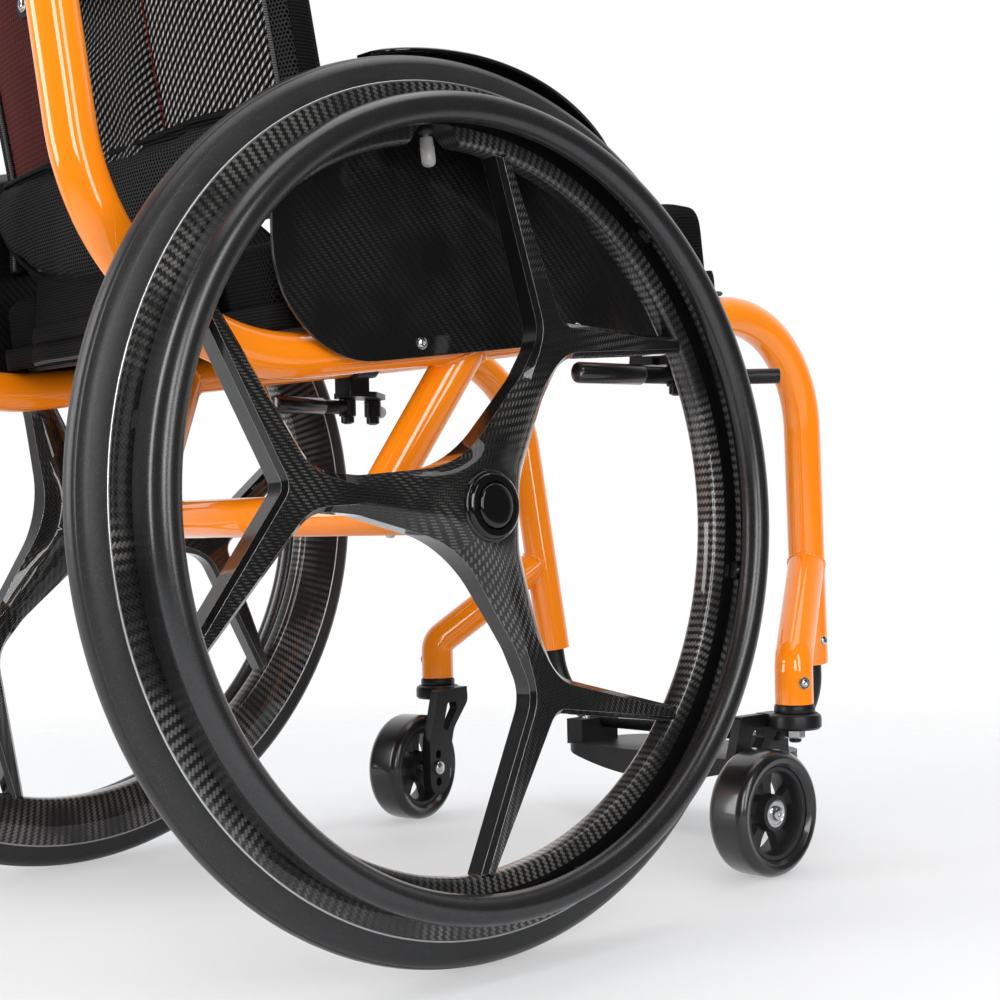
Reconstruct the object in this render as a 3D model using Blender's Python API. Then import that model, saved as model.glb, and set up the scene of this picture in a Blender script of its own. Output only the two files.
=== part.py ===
"""Ultralight rigid wheelchair with three-arm carbon wheels.

Metres, +Z up. +X points forward, +Y to the user's left. The origin lies on the
floor, straight below the middle of the rear axle line.
"""
from math import atan2, cos, pi, radians, sin, sqrt, tan

import bmesh
import bpy
from mathutils import Matrix, Vector

# Driving dimensions
GAP = 0.0003                    # clearance between neighbouring solids
WHEEL_RADIUS = 0.295            # rear wheel over the tyre, nominal 24 inch
TYRE_HALF_WIDTH = 0.0125
SEAT_HALF = 0.1880              # half of the seat's width, which the frame follows
TRACK = 2 * (SEAT_HALF + 0.0620)    # between the rear wheel centres at axle height
CAMBER = radians(1.9)           # lean of each rear wheel, top inwards
WHEEL_STEPS = 36                # facets round a rear wheel

RIM_SEAT_RADIUS = WHEEL_RADIUS - 0.0235     # where the tyre bead sits
RIM_FLANGE_RADIUS = RIM_SEAT_RADIUS + 0.0045
RIM_FLANGE_WALL = 0.0017
RIM_SHOULDER_RADIUS = RIM_SEAT_RADIUS - 0.0115
RIM_INNER_RADIUS = RIM_SHOULDER_RADIUS - 0.0230
RIM_INNER_HALF_WIDTH = 0.0085

HUB_RADIUS = 0.0240
HUB_OUTER = 0.0260              # hub face outboard of the wheel's middle plane
HUB_INNER = 0.0260              # hub face inboard of it
HUB_BOSS_RADIUS = 0.0215
BEARING_RADIUS = 0.0143
BEARING_WIDTH = 0.0080
AXLE_PIN_RADIUS = 0.00635
ARM_HALF_THICKNESS = 0.0100
ARM_CHAMFER = 0.0030
ARM_VALLEY_RADIUS = 0.0300      # where the edges of two neighbouring arms meet
ARM_VALLEY_FILLET = 0.0850
ARM_WAIST_RADIUS = 0.0980       # the arms narrow down to here
ARM_HALF_WIDTH = 0.0128
ARM_JUNCTION_RADIUS = RIM_INNER_RADIUS - 0.1040
ARM_JUNCTION_FILLET = 0.0300
ARM_CROTCH_RADIUS = RIM_INNER_RADIUS - 0.0830
ARM_CROTCH_FILLET = 0.0100
ARM_INTO_RIM = 0.0040
SPOKE_HALF_WIDTH = 0.0063
SPOKE_SPREAD = radians(26)      # each thin spoke meets the rim this far off its arm
RIGHT_ARM_PHASE = radians(55)
LEFT_ARM_PHASE = radians(-10)

HANDRIM_RADIUS = RIM_SHOULDER_RADIUS - 0.0051
HANDRIM_TUBE_RADIUS = 0.0100
HANDRIM_OFFSET = 0.0344         # outboard of the wheel's middle plane
HANDRIM_WEB_RADIUS = RIM_SHOULDER_RADIUS + 0.0010   # flat grip band between the tube and the rim
HANDRIM_WEB_WALL = 0.0022
HANDRIM_WEB_END = 0.0150
HANDRIM_TAB_PHASE = radians(48.8)
HANDRIM_TABS = 6
TAB_WIDTH = 0.0140
TAB_WALL = 0.0030

VALVE_PHASE = radians(95.5)
VALVE_RADIUS = 0.0030
VALVE_TIP_RADIUS = RIM_INNER_RADIUS - 0.0145
NOTCH_RADIUS = RIM_INNER_RADIUS + 0.0110
NOTCH_HALF_WIDTH_IN = 0.0240
NOTCH_HALF_WIDTH_OUT = 0.0120

BUTTON_RADIUS = 0.0150
BUTTON_THICKNESS = 0.0055
BUTTON_TRAVEL = 0.0035
BUTTON_PROUD = 0.0030           # how far the cap stands out of the hub
BUTTON_STEM_RADIUS = 0.0026

FRAME_TUBE = 0.0155             # outer radius of the bent side tube
FRAME_SIDES = 14
RAIL_Y = SEAT_HALF - 0.0086
LEG_FOOT = Vector((0.4851, RAIL_Y - 0.0211, 0.1560))
LEG_TOP_X = 0.4507              # where the leg's line meets the rail's line
RAIL_FRONT_Z = 0.4620
RAIL_REAR_Z = 0.3787            # rail centreline where it meets the upright's line
UPRIGHT_FOOT_X = -0.2256
UPRIGHT_TOP_X = -0.2767
UPRIGHT_TOP = 0.7300
FRONT_BEND = 0.1031
REAR_BEND = 0.1516
RAIL_SLOPE = atan2(RAIL_FRONT_Z - RAIL_REAR_Z, LEG_TOP_X - UPRIGHT_FOOT_X)
BEND_STEP = radians(11)

AXLE_TUBE_RADIUS = 0.0150
AXLE_TUBE_BORE = 0.0118
PLUG_DEPTH = 0.0550
PLUG_FLANGE = 0.0120
PLUG_NOSE = 0.0040              # the flange's raised middle
PLUG_TO_HUB = 0.0050            # free width between the nose and the hub
AXLE_TUBE_HALF = TRACK / 2 - HUB_INNER - PLUG_TO_HUB - PLUG_NOSE - PLUG_FLANGE
PLUG_WALL_GAP = 0.0004
STRUT_RADIUS = 0.0155
STRUT_TOP_X = 0.0680            # where the brace's line meets the rail's centreline
STRUT_FOOT_X = 0.0030
STRUT_FROM_END = 0.0580         # between the brace's foot and the axle tube's end

CASTER_X = 0.3820               # swivel axis
CASTER_Y = RAIL_Y + 0.0396
CASTER_TRAIL = 0.0430
LEFT_SWIVEL = radians(12)       # the left caster stands turned this far
CASTER_RADIUS = 0.0500
CASTER_HALF_WIDTH = 0.0185
CASTER_STEPS = 24
CASTER_HUB_BOSS = 0.0125        # half length of the hub's boss
CASTER_HUB_RADIUS = 0.0370
CASTER_BEARING_RADIUS = 0.0110
CASTER_BEARING_WIDTH = 0.0070
CASTER_AXLE_RADIUS = 0.0040
CASTER_SPOKES = 5
HOUSING_RADIUS = 0.0155
HOUSING_BOTTOM = 0.1320
HOUSING_TOP = 0.1670
STEM_RADIUS = 0.0060
STEM_LENGTH = 0.0290            # inside the housing
CROWN_RADIUS = 0.0215
CROWN_TOP = 0.1250
CROWN_BOTTOM = 0.1120
FORK_WALL = 0.0090
FORK_CLEARANCE = 0.0035
FORK_HOLE_STEP = 0.0130         # between the three heights for the axle bolt
FORK_OUTLINE = (                # x, z, corner radius, from the caster's axle
    (-0.0130, -0.0240, 0.012),
    (0.0170, -0.0240, 0.014),
    (0.0195, 0.0120, 0.012),
    (0.0265, 0.0360, 0.020),
    (0.0500, 0.0600, 0.010),
    (0.0490, 0.0735, 0.004),
    (0.0020, 0.0735, 0.004),
    (-0.0050, 0.0500, 0.012),
    (-0.0130, 0.0280, 0.012),
)
FORK_SLOT = (
    (0.0080, 0.0420, 0.003),
    (0.0150, 0.0370, 0.003),
    (0.0260, 0.0500, 0.003),
    (0.0240, 0.0580, 0.004),
    (0.0110, 0.0580, 0.004),
)
CASTER_ARM_TOP = 0.2450         # height where the arm's line meets the leg's line

FOOT_TUBE_RADIUS = 0.0095
FOOT_TUBE_INSERT = 0.0600       # length inside the leg's socket
FOOT_BEND = 0.0600
FOOT_TUBE_Z = 0.0905            # height of the tube where it crosses under the legs
FOOTPLATE_REAR = 0.4480
FOOTPLATE_FRONT = 0.5560
FOOTPLATE_HALF = 0.1140
FOOTPLATE_TOP = 0.0695
FOOTPLATE_CENTRE_DEPTH = 0.0250 # depth of the hull in its middle
FOOTPLATE_END_DEPTH = 0.0050
FOOTPLATE_CORNER = 0.0180
FOOTPLATE_TOE_CORNER = 0.0400
FOOTPLATE_SKIN = 0.0040
LUG_Y = FOOTPLATE_HALF - 0.0190     # inboard face of the lug that carries the plate
LUG_WIDTH = 0.0200
LUG_REAR = 0.4570

GUARD_Y = SEAT_HALF + 0.0120     # middle of the guard sheet
GUARD_WALL = 0.0025
GUARD_OUTLINE = (               # x, z, corner radius, seen from the side
    (-0.1180, 0.5000, 0.0),
    (-0.1175, 0.3830, 0.075),
    (0.2680, 0.4290, 0.010),
    (0.2520, 0.4900, 0.040),
)
FENDER_REAR_RISE = 0.0085       # outer face at its rear end, above the tyre
FENDER_FRONT_RISE = 0.0145
FENDER_WALL = 0.0035
FENDER_REAR = radians(105)
FENDER_FRONT = radians(60)
FENDER_STEPS = 9
FENDER_EDGE_Y = GUARD_Y + 0.0450
GUARD_SCREWS = (0.0050, 0.1560) # x of the two screws into the rail

BRAKE_Z = 0.3950
BAR_PIVOT = Vector((0.2960, RAIL_Y + 0.0276, BRAKE_Z))
BAR_REST = radians(43)          # the bar points this far outboard of forward
BAR_LENGTH = 0.0570
BAR_ROD = 0.0060
LEVER_PIVOT = Vector((0.2630, RAIL_Y + 0.0246, BRAKE_Z))
LEVER_REST = radians(9)         # the lever points this far inboard of rearward
LEVER_LENGTH = 0.0970
LEVER_RADIUS = 0.0080
LEVER_GRIP_LENGTH = 0.0620
BRAKE_PIN_RADIUS = 0.0035
BRAKE_EYE_RADIUS = 0.0080
BRAKE_PLATE = 0.0050
BRAKE_NUT = 0.0070
CLAMP_X = 0.2540                # middle of the brake's clamp on the rail
CLAMP_HALF = 0.0120
CLAMP_JAW = 0.0030              # wall of the brake's clamp round the rail
CLAMP_UNDER_SLING = 0.0010      # the open top of the clamp ends below the sling

SEAT_REAR = -0.1000
SEAT_FRONT = 0.3480
SLING_REAR = -0.0740            # the sling ends where the rail starts to bend upwards
SLING_WALL = 0.0040
CUSHION_REAR = 0.0510           # thickness at the back of the seat
CUSHION_FRONT = 0.0710
CUSHION_CORNER = 0.0130
CUSHION_CROWN = 0.0060

BACK_X = -0.0850                # rear face of the backrest cover at its side edges
BACK_LEVEL = 0.5650             # height at which BACK_X is taken
BACK_RECLINE = radians(11)
BACK_HALF = SEAT_HALF + 0.0060
BACK_BOTTOM = 0.4900
BACK_TOP = 0.7800
BACK_COVER = 0.0060
BACK_SHELL = 0.0025
BACK_PAD = 0.0100
BACK_PAD_CROWN = 0.0120         # extra thickness in the middle of the pad
BACK_CURVE = 0.0200             # how far the backrest's middle lies behind its sides
SLAB_EDGE = 0.0200              # height over which the pad's top and bottom edges round
BAND_BOTTOM = 0.4780
BAND_TOP = 0.5600
BAND_PROUD = 0.0150
FLAP_BOTTOM = 0.4120
FLAP_HALF = 0.1200
BAR_Z = 0.6900
BAR_RADIUS = 0.0110
BRACKET_ARM_Y = 0.0550
BRACKET_ARM_RADIUS = 0.0090
BRACKET_PLATE = (0.0040, 0.1600, 0.0560)
CLAMP_WALL = 0.0040
CLAMP_WIDTH = 0.0300

PAINT = (1.0, 0.27, 0.01)
BLACK = (0.012, 0.012, 0.013)
RUBBER = (0.020, 0.020, 0.021)
CARBON = (0.015, 0.015, 0.016)
SILVER = (0.62, 0.62, 0.62)
MESH_CLOTH = (0.018, 0.018, 0.020)

WHEEL_AXLE_Z = (WHEEL_RADIUS - TYRE_HALF_WIDTH) * cos(CAMBER) + TYRE_HALF_WIDTH
AXLE_TUBE_Z = WHEEL_AXLE_Z - (TRACK / 2 - AXLE_TUBE_HALF + PLUG_DEPTH / 2) * tan(CAMBER)


def clear_scene():
    for thing in list(bpy.data.objects):
        bpy.data.objects.remove(thing, do_unlink=True)


def make_material(name, colour, roughness, metallic):
    material = bpy.data.materials.new(name)
    material.use_nodes = True
    shader = material.node_tree.nodes["Principled BSDF"]
    shader.inputs["Base Color"].default_value = (*colour, 1.0)
    shader.inputs["Roughness"].default_value = roughness
    shader.inputs["Metallic"].default_value = metallic
    return material


def make_empty(name, matrix):
    empty = bpy.data.objects.new(name, None)
    bpy.context.collection.objects.link(empty)
    empty.matrix_world = matrix
    return empty


def node(name, bm, material, parent=None, matrix=None):
    """Turns a closed bmesh into a named object, under its parent if it moves."""
    bmesh.ops.recalc_face_normals(bm, faces=bm.faces)
    mesh = bpy.data.meshes.new(name)
    bm.to_mesh(mesh)
    bm.free()
    mesh.materials.append(material)
    mesh.shade_smooth()
    mesh.set_sharp_from_angle(angle=radians(35))
    thing = bpy.data.objects.new(name, mesh)
    bpy.context.collection.objects.link(thing)
    if parent is not None:
        thing.parent = parent
    if matrix is not None:
        thing.matrix_local = matrix
    return thing


def combine(base, tool, operation):
    """One EXACT Boolean of two bmeshes; both are used up and a new one returned."""
    made = []
    for bm in (base, tool):
        bmesh.ops.recalc_face_normals(bm, faces=bm.faces)
        mesh = bpy.data.meshes.new("step")
        bm.to_mesh(mesh)
        bm.free()
        thing = bpy.data.objects.new("step", mesh)
        bpy.context.collection.objects.link(thing)
        made.append(thing)
    modifier = made[0].modifiers.new("cut", "BOOLEAN")
    modifier.operation = operation
    modifier.solver = "EXACT"
    modifier.object = made[1]
    bpy.context.view_layer.update()
    graph = bpy.context.evaluated_depsgraph_get()
    result = bmesh.new()
    result.from_mesh(made[0].evaluated_get(graph).to_mesh())
    for thing in made:
        mesh = thing.data
        bpy.data.objects.remove(thing, do_unlink=True)
        bpy.data.meshes.remove(mesh)
    bmesh.ops.remove_doubles(result, verts=result.verts, dist=2e-6)
    bmesh.ops.dissolve_degenerate(result, edges=result.edges, dist=1e-6)
    return result


def join(base, *tools):
    for tool in tools:
        base = combine(base, tool, "UNION")
    return base


def cut(base, *tools):
    for tool in tools:
        base = combine(base, tool, "DIFFERENCE")
    return base


def placed(bm, matrix):
    bmesh.ops.transform(bm, matrix=matrix, verts=bm.verts)
    return bm


def mirrored(bm):
    """The same piece on the other side of the chair."""
    bmesh.ops.transform(bm, matrix=Matrix.Scale(-1, 4, (0, 1, 0)), verts=bm.verts)
    bmesh.ops.reverse_faces(bm, faces=bm.faces)
    return bm


def box(low, high):
    bm = bmesh.new()
    bmesh.ops.create_cube(bm, size=1.0)
    low, high = Vector(low), Vector(high)
    size = high - low
    bmesh.ops.scale(bm, vec=size, verts=bm.verts)
    bmesh.ops.translate(bm, vec=(low + high) / 2, verts=bm.verts)
    return bm


def frame_along(direction, up=(0, 0, 1)):
    """Rotation whose Z axis is the direction."""
    axis = Vector(direction).normalized()
    side = Vector(up).cross(axis)
    if side.length < 1e-6:
        side = Vector((1, 0, 0)).cross(axis)
    side.normalize()
    return Matrix((side, axis.cross(side), axis)).transposed().to_4x4()


def rod(start, end, radius, sides=16, end_radius=None):
    """A solid cylinder or cone frustum between two points."""
    start, end = Vector(start), Vector(end)
    bm = bmesh.new()
    bmesh.ops.create_cone(bm, cap_ends=True, cap_tris=False, segments=sides, radius1=radius,
                          radius2=radius if end_radius is None else end_radius,
                          depth=(end - start).length)
    turn = frame_along(end - start)
    return placed(bm, Matrix.Translation((start + end) / 2) @ turn)


def turned(profile, steps, matrix=None, closed=False):
    """A turned piece round Z from (radius, height) points.

    A closed profile makes a ring. An open one starts and ends on the axis.
    """
    bm = bmesh.new()
    rings = []
    for radius, height in profile:
        if radius < 1e-7:
            rings.append([bm.verts.new((0, 0, height))])
        else:
            rings.append([bm.verts.new((radius * cos(2 * pi * i / steps),
                                        radius * sin(2 * pi * i / steps), height))
                          for i in range(steps)])
    pairs = list(zip(rings, rings[1:]))
    if closed:
        pairs.append((rings[-1], rings[0]))
    for first, second in pairs:
        for i in range(steps):
            j = (i + 1) % steps
            if len(first) == 1:
                bm.faces.new((first[0], second[i], second[j]))
            elif len(second) == 1:
                bm.faces.new((first[i], second[0], first[j]))
            else:
                bm.faces.new((first[i], second[i], second[j], first[j]))
    if matrix is not None:
        placed(bm, matrix)
    return bm


def bent_path(corners, radii, step=BEND_STEP):
    """Points of a tube's centreline: straight runs with a round bend at each corner."""
    points = [Vector(corners[0])]
    for before, here, after, radius in zip(corners, corners[1:], corners[2:], radii):
        here = Vector(here)
        back = (Vector(before) - here).normalized()
        on = (Vector(after) - here).normalized()
        angle = pi - back.angle(on)
        reach = radius * tan(angle / 2)
        centre = here + (back + on).normalized() * (radius / cos(angle / 2))
        start = here + back * reach - centre
        axis = back.cross(on)
        count = max(2, round(angle / step))
        for i in range(count + 1):
            turn = Matrix.Rotation(-angle * i / count, 3, axis)
            points.append(centre + turn @ start)
    points.append(Vector(corners[-1]))
    return points


def swept(points, radius, sides=FRAME_SIDES, flat=1.0):
    """A solid tube along points, round or squeezed across its second axis."""
    bm = bmesh.new()
    tangents = []
    for i in range(len(points)):
        ahead = points[min(i + 1, len(points) - 1)] - points[i]
        behind = points[i] - points[max(i - 1, 0)]
        tangents.append((ahead.normalized() + behind.normalized()).normalized())
    side = Vector((0, 1, 0))
    rings = []
    for i, (point, tangent) in enumerate(zip(points, tangents)):
        side = (side - tangent * side.dot(tangent)).normalized()
        other = tangent.cross(side)
        stretch = 1.0
        if 0 < i < len(points) - 1:
            run = (points[i + 1] - point).normalized()
            stretch = 1.0 / max(0.5, run.dot(tangent))
        ring = []
        for k in range(sides):
            a = 2 * pi * k / sides
            ring.append(bm.verts.new(point + side * (radius * flat * cos(a))
                                     + other * (radius * sin(a) * stretch)))
        rings.append(ring)
    for first, second in zip(rings, rings[1:]):
        for k in range(sides):
            j = (k + 1) % sides
            bm.faces.new((first[k], first[j], second[j], second[k]))
    bm.faces.new(rings[0][::-1])
    bm.faces.new(rings[-1])
    return bm


def rounded_outline(corners, arc_steps=5):
    """2-D outline with each corner (x, y, radius) rounded to its radius."""
    points = []
    count = len(corners)
    for i in range(count):
        x, y, radius = corners[i]
        here = Vector((x, y))
        before = Vector(corners[i - 1][:2])
        after = Vector(corners[(i + 1) % count][:2])
        if radius <= 0:
            points.append(here)
            continue
        back = (before - here).normalized()
        on = (after - here).normalized()
        angle = pi - back.angle(on)
        reach = radius * tan(angle / 2)
        centre = here + (back + on).normalized() * (radius / cos(angle / 2))
        start = here + back * reach - centre
        finish = here + on * reach - centre
        sweep = start.angle_signed(finish)
        for k in range(arc_steps + 1):
            a = -sweep * k / arc_steps
            points.append(centre + Vector((start.x * cos(a) - start.y * sin(a),
                                           start.x * sin(a) + start.y * cos(a))))
    return points


def plate(outline, low, high, matrix=None):
    """An extruded flat outline between two heights along Z."""
    bm = bmesh.new()
    bottom = [bm.verts.new((p[0], p[1], low)) for p in outline]
    top = [bm.verts.new((p[0], p[1], high)) for p in outline]
    bm.faces.new(bottom[::-1])
    bm.faces.new(top)
    for i in range(len(outline)):
        j = (i + 1) % len(outline)
        bm.faces.new((bottom[i], bottom[j], top[j], top[i]))
    if matrix is not None:
        placed(bm, matrix)
    return bm


def side_view(y):
    """Places an outline drawn in x and z at a distance y to the left."""
    return Matrix(((1, 0, 0, 0), (0, 0, -1, y), (0, 1, 0, 0), (0, 0, 0, 1)))


def wheel_frame(side):
    """Rear wheel's frame: local Z points outboard along the axle, local Y upwards."""
    outward = Vector((0, side * cos(CAMBER), sin(CAMBER)))
    upward = Vector((0, -side * sin(CAMBER), cos(CAMBER)))
    forward = upward.cross(outward)
    turn = Matrix((forward, upward, outward)).transposed().to_4x4()
    return Matrix.Translation((0, side * TRACK / 2, WHEEL_AXLE_Z)) @ turn


def wheel_angle(side, angle):
    """Angle in the wheel's own frame for an angle seen with forward to the right."""
    forward = wheel_frame(side).col[0].xyz
    return angle if forward.x > 0 else pi - angle


def rim_ring():
    """Deep carbon rim with a channel for the tyre."""
    half = TYRE_HALF_WIDTH
    inner = half - RIM_FLANGE_WALL
    return turned([(RIM_FLANGE_RADIUS, half), (RIM_FLANGE_RADIUS, inner), (RIM_SEAT_RADIUS, inner),
                   (RIM_SEAT_RADIUS, -inner), (RIM_FLANGE_RADIUS, -inner),
                   (RIM_FLANGE_RADIUS, -half), (RIM_SHOULDER_RADIUS, -half),
                   (RIM_INNER_RADIUS, -RIM_INNER_HALF_WIDTH),
                   (RIM_INNER_RADIUS, RIM_INNER_HALF_WIDTH), (RIM_SHOULDER_RADIUS, half)],
                  WHEEL_STEPS, closed=True)


def arm_star(phase):
    """Three arms, each of which splits into two thin spokes, as one chamfered plate."""
    rim_reach = RIM_INNER_RADIUS + ARM_INTO_RIM
    corners = []
    for k in range(3):
        middle = phase + 2 * pi * k / 3
        along = Vector((cos(middle), sin(middle)))
        across = Vector((-along.y, along.x))
        start = along * ARM_JUNCTION_RADIUS
        rows = []
        for sign in (-1, 1):
            end = Vector((cos(middle + sign * SPOKE_SPREAD),
                          sin(middle + sign * SPOKE_SPREAD))) * rim_reach
            run = (end - start).normalized()
            normal = Vector((-run.y, run.x)) * sign
            waist = along * ARM_WAIST_RADIUS + across * (sign * ARM_HALF_WIDTH)
            outer = start + across * (sign * ARM_HALF_WIDTH)
            rows.append((waist, outer, end + normal * SPOKE_HALF_WIDTH, end - normal * SPOKE_HALF_WIDTH))
        lower, upper = rows
        turn = middle - pi / 3
        corners.append((cos(turn) * ARM_VALLEY_RADIUS, sin(turn) * ARM_VALLEY_RADIUS, ARM_VALLEY_FILLET))
        corners.append((*lower[0], 0.0))
        corners.append((*lower[1], ARM_JUNCTION_FILLET))
        corners.append((*lower[2], 0.0))
        corners.append((*lower[3], 0.0))
        corners.append((*(along * ARM_CROTCH_RADIUS), ARM_CROTCH_FILLET))
        corners.append((*upper[3], 0.0))
        corners.append((*upper[2], 0.0))
        corners.append((*upper[1], ARM_JUNCTION_FILLET))
        corners.append((*upper[0], 0.0))
    outline = rounded_outline(corners, arc_steps=3)
    bm = bmesh.new()
    flat = bm.faces.new([bm.verts.new((p.x, p.y, 0)) for p in outline])
    extruded = bmesh.ops.extrude_face_region(bm, geom=[flat])
    risen = [v for v in extruded["geom"] if isinstance(v, bmesh.types.BMVert)]
    top = [f for f in extruded["geom"] if isinstance(f, bmesh.types.BMFace)]
    straight = ARM_HALF_THICKNESS - ARM_CHAMFER
    for v in bm.verts:
        v.co.z = straight if v in risen else -straight
    bmesh.ops.recalc_face_normals(bm, faces=bm.faces)
    ends = [f for f in bm.faces if len(f.verts) == len(outline)]
    for face in ends:
        rise = ARM_CHAMFER if face in top else -ARM_CHAMFER
        bmesh.ops.inset_region(bm, faces=[face], thickness=ARM_CHAMFER, depth=0.0)
        for v in face.verts:
            v.co.z += rise
    return bm


def wheel_body(phase):
    hub = turned([(0, -HUB_INNER), (HUB_BOSS_RADIUS, -HUB_INNER), (HUB_RADIUS, -ARM_HALF_THICKNESS),
                  (HUB_RADIUS, ARM_HALF_THICKNESS), (HUB_BOSS_RADIUS, HUB_OUTER), (0, HUB_OUTER)], 24)
    seat = -HUB_INNER + BEARING_WIDTH + 2 * GAP
    recess = HUB_OUTER + BUTTON_PROUD - BUTTON_THICKNESS - BUTTON_TRAVEL - 2 * GAP
    bore = turned([(0, -HUB_INNER - 0.01), (BEARING_RADIUS + GAP, -HUB_INNER - 0.01),
                   (BEARING_RADIUS + GAP, seat), (AXLE_PIN_RADIUS + 0.002, seat),
                   (AXLE_PIN_RADIUS + 0.002, recess), (BUTTON_RADIUS + 0.0006, recess),
                   (BUTTON_RADIUS + 0.0006, HUB_OUTER + 0.01), (0, HUB_OUTER + 0.01)], 20)
    notch_foot = RIM_INNER_RADIUS - 0.006
    notch = plate([(NOTCH_RADIUS, -NOTCH_HALF_WIDTH_OUT), (NOTCH_RADIUS, NOTCH_HALF_WIDTH_OUT),
                   (notch_foot, NOTCH_HALF_WIDTH_IN), (notch_foot, -NOTCH_HALF_WIDTH_IN)],
                  -3 * ARM_HALF_THICKNESS, 3 * ARM_HALF_THICKNESS)
    body = join(rim_ring(), arm_star(phase[0]), hub)
    return cut(body, placed(notch, Matrix.Rotation(phase[1], 4, "Z")), bore)


def tyre_ring():
    """Solid tyre section: a round tread on a bead that sits in the rim's channel."""
    bead = TYRE_HALF_WIDTH - RIM_FLANGE_WALL - GAP
    middle = WHEEL_RADIUS - TYRE_HALF_WIDTH
    profile = [(RIM_SEAT_RADIUS + GAP, bead), (RIM_FLANGE_RADIUS + GAP, bead),
               (RIM_FLANGE_RADIUS + GAP, TYRE_HALF_WIDTH - 0.0004)]
    for degrees in (25, 55, 90, 125, 155):
        a = radians(degrees)
        profile.append((middle + TYRE_HALF_WIDTH * sin(a), TYRE_HALF_WIDTH * cos(a)))
    profile += [(RIM_FLANGE_RADIUS + GAP, -TYRE_HALF_WIDTH + 0.0004),
                (RIM_FLANGE_RADIUS + GAP, -bead), (RIM_SEAT_RADIUS + GAP, -bead)]
    return turned(profile, WHEEL_STEPS, closed=True)


def handrim_ring(phase):
    """Round grip tube with a flat band beside it, on tabs that reach to the rim."""
    band_out = HANDRIM_WEB_RADIUS + HANDRIM_WEB_WALL
    profile = []
    for degrees in (90, 135, 180, 225, 270, 315, 0):
        a = radians(degrees)
        profile.append((HANDRIM_RADIUS + HANDRIM_TUBE_RADIUS * cos(a),
                        HANDRIM_OFFSET + HANDRIM_TUBE_RADIUS * sin(a)))
    low = [p for p in profile if p[1] < HANDRIM_OFFSET and p[0] > HANDRIM_WEB_RADIUS]
    first = profile.index(low[0])
    profile[first:first + len(low)] = [(HANDRIM_WEB_RADIUS, HANDRIM_OFFSET - HANDRIM_TUBE_RADIUS * 0.80),
                                       (HANDRIM_WEB_RADIUS, HANDRIM_WEB_END),
                                       (band_out, HANDRIM_WEB_END),
                                       (band_out, HANDRIM_OFFSET - HANDRIM_TUBE_RADIUS * 0.50)]
    ring = turned(profile, WHEEL_STEPS, closed=True)
    for k in range(HANDRIM_TABS):
        turn = Matrix.Rotation(phase + 2 * pi * k / HANDRIM_TABS, 4, "Z")
        reach_in = RIM_SHOULDER_RADIUS - 0.004
        tab = box((reach_in, -TAB_WIDTH / 2, TYRE_HALF_WIDTH + GAP),
                  (band_out - 0.0006, TAB_WIDTH / 2, HANDRIM_WEB_END + TAB_WALL))
        ring = join(ring, placed(tab, turn))
    return ring


def valve_stem(phase):
    """Valve with its cap, standing on the rim's notch and pointing at the hub."""
    base = NOTCH_RADIUS - GAP
    profile = [(0, 0), (0.0046, 0), (0.0046, 0.003), (VALVE_RADIUS, 0.0032), (VALVE_RADIUS, 0.009),
               (0.0036, 0.0094), (0.0036, base - VALVE_TIP_RADIUS - 0.003),
               (0.0018, base - VALVE_TIP_RADIUS), (0, base - VALVE_TIP_RADIUS)]
    stand = Matrix.Rotation(phase, 4, "Z") @ Matrix.Translation((base, 0, 0)) \
        @ frame_along((-1, 0, 0))
    return turned(profile, 12, stand)


def axle_pin():
    """Hollow quick-release axle, from the hub's outer face into the camber plug."""
    inner_end = -(TRACK / 2 - AXLE_TUBE_HALF + PLUG_DEPTH - 0.004)
    outer_end = HUB_OUTER - BUTTON_THICKNESS - BUTTON_TRAVEL
    bore = BUTTON_STEM_RADIUS + 0.0006
    return turned([(0, inner_end), (AXLE_PIN_RADIUS - 0.0015, inner_end),
                   (AXLE_PIN_RADIUS, inner_end + 0.003), (AXLE_PIN_RADIUS, outer_end),
                   (bore, outer_end), (bore, inner_end + 0.012), (0, inner_end + 0.012)], 12)


def axle_button():
    """Round release cap with the plunger that it pushes down the axle."""
    under = HUB_OUTER + BUTTON_PROUD - BUTTON_THICKNESS
    inner_end = -(TRACK / 2 - AXLE_TUBE_HALF + PLUG_DEPTH - 0.004)
    return turned([(0, inner_end + 0.018), (BUTTON_STEM_RADIUS, inner_end + 0.018),
                   (BUTTON_STEM_RADIUS, under), (BUTTON_RADIUS, under),
                   (BUTTON_RADIUS, under + BUTTON_THICKNESS - 0.0012),
                   (BUTTON_RADIUS - 0.0012, under + BUTTON_THICKNESS),
                   (0, under + BUTTON_THICKNESS)], 16)


def camber_plug(side):
    """Sleeve in the axle tube's end, bored along the tilted axle."""
    flange_out = AXLE_TUBE_HALF + PLUG_FLANGE
    nose_out = flange_out + PLUG_NOSE
    sleeve = AXLE_TUBE_BORE - PLUG_WALL_GAP
    inner_end = AXLE_TUBE_HALF - PLUG_DEPTH
    body = turned([(0, inner_end), (sleeve, inner_end), (sleeve, AXLE_TUBE_HALF + GAP),
                   (AXLE_TUBE_RADIUS, AXLE_TUBE_HALF + GAP), (AXLE_TUBE_RADIUS - 0.001, flange_out),
                   (AXLE_PIN_RADIUS + 0.003, flange_out), (AXLE_PIN_RADIUS + 0.003, nose_out),
                   (0, nose_out)], 16, frame_along((0, 1, 0)))
    placed(body, Matrix.Translation((0, 0, AXLE_TUBE_Z)))
    if side < 0:
        mirrored(body)
    stand = wheel_frame(side)
    bore = rod(stand @ Vector((0, 0, 0.02)), stand @ Vector((0, 0, -TRACK / 3)),
               AXLE_PIN_RADIUS + 0.0004, 12)
    return cut(body, bore)


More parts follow.
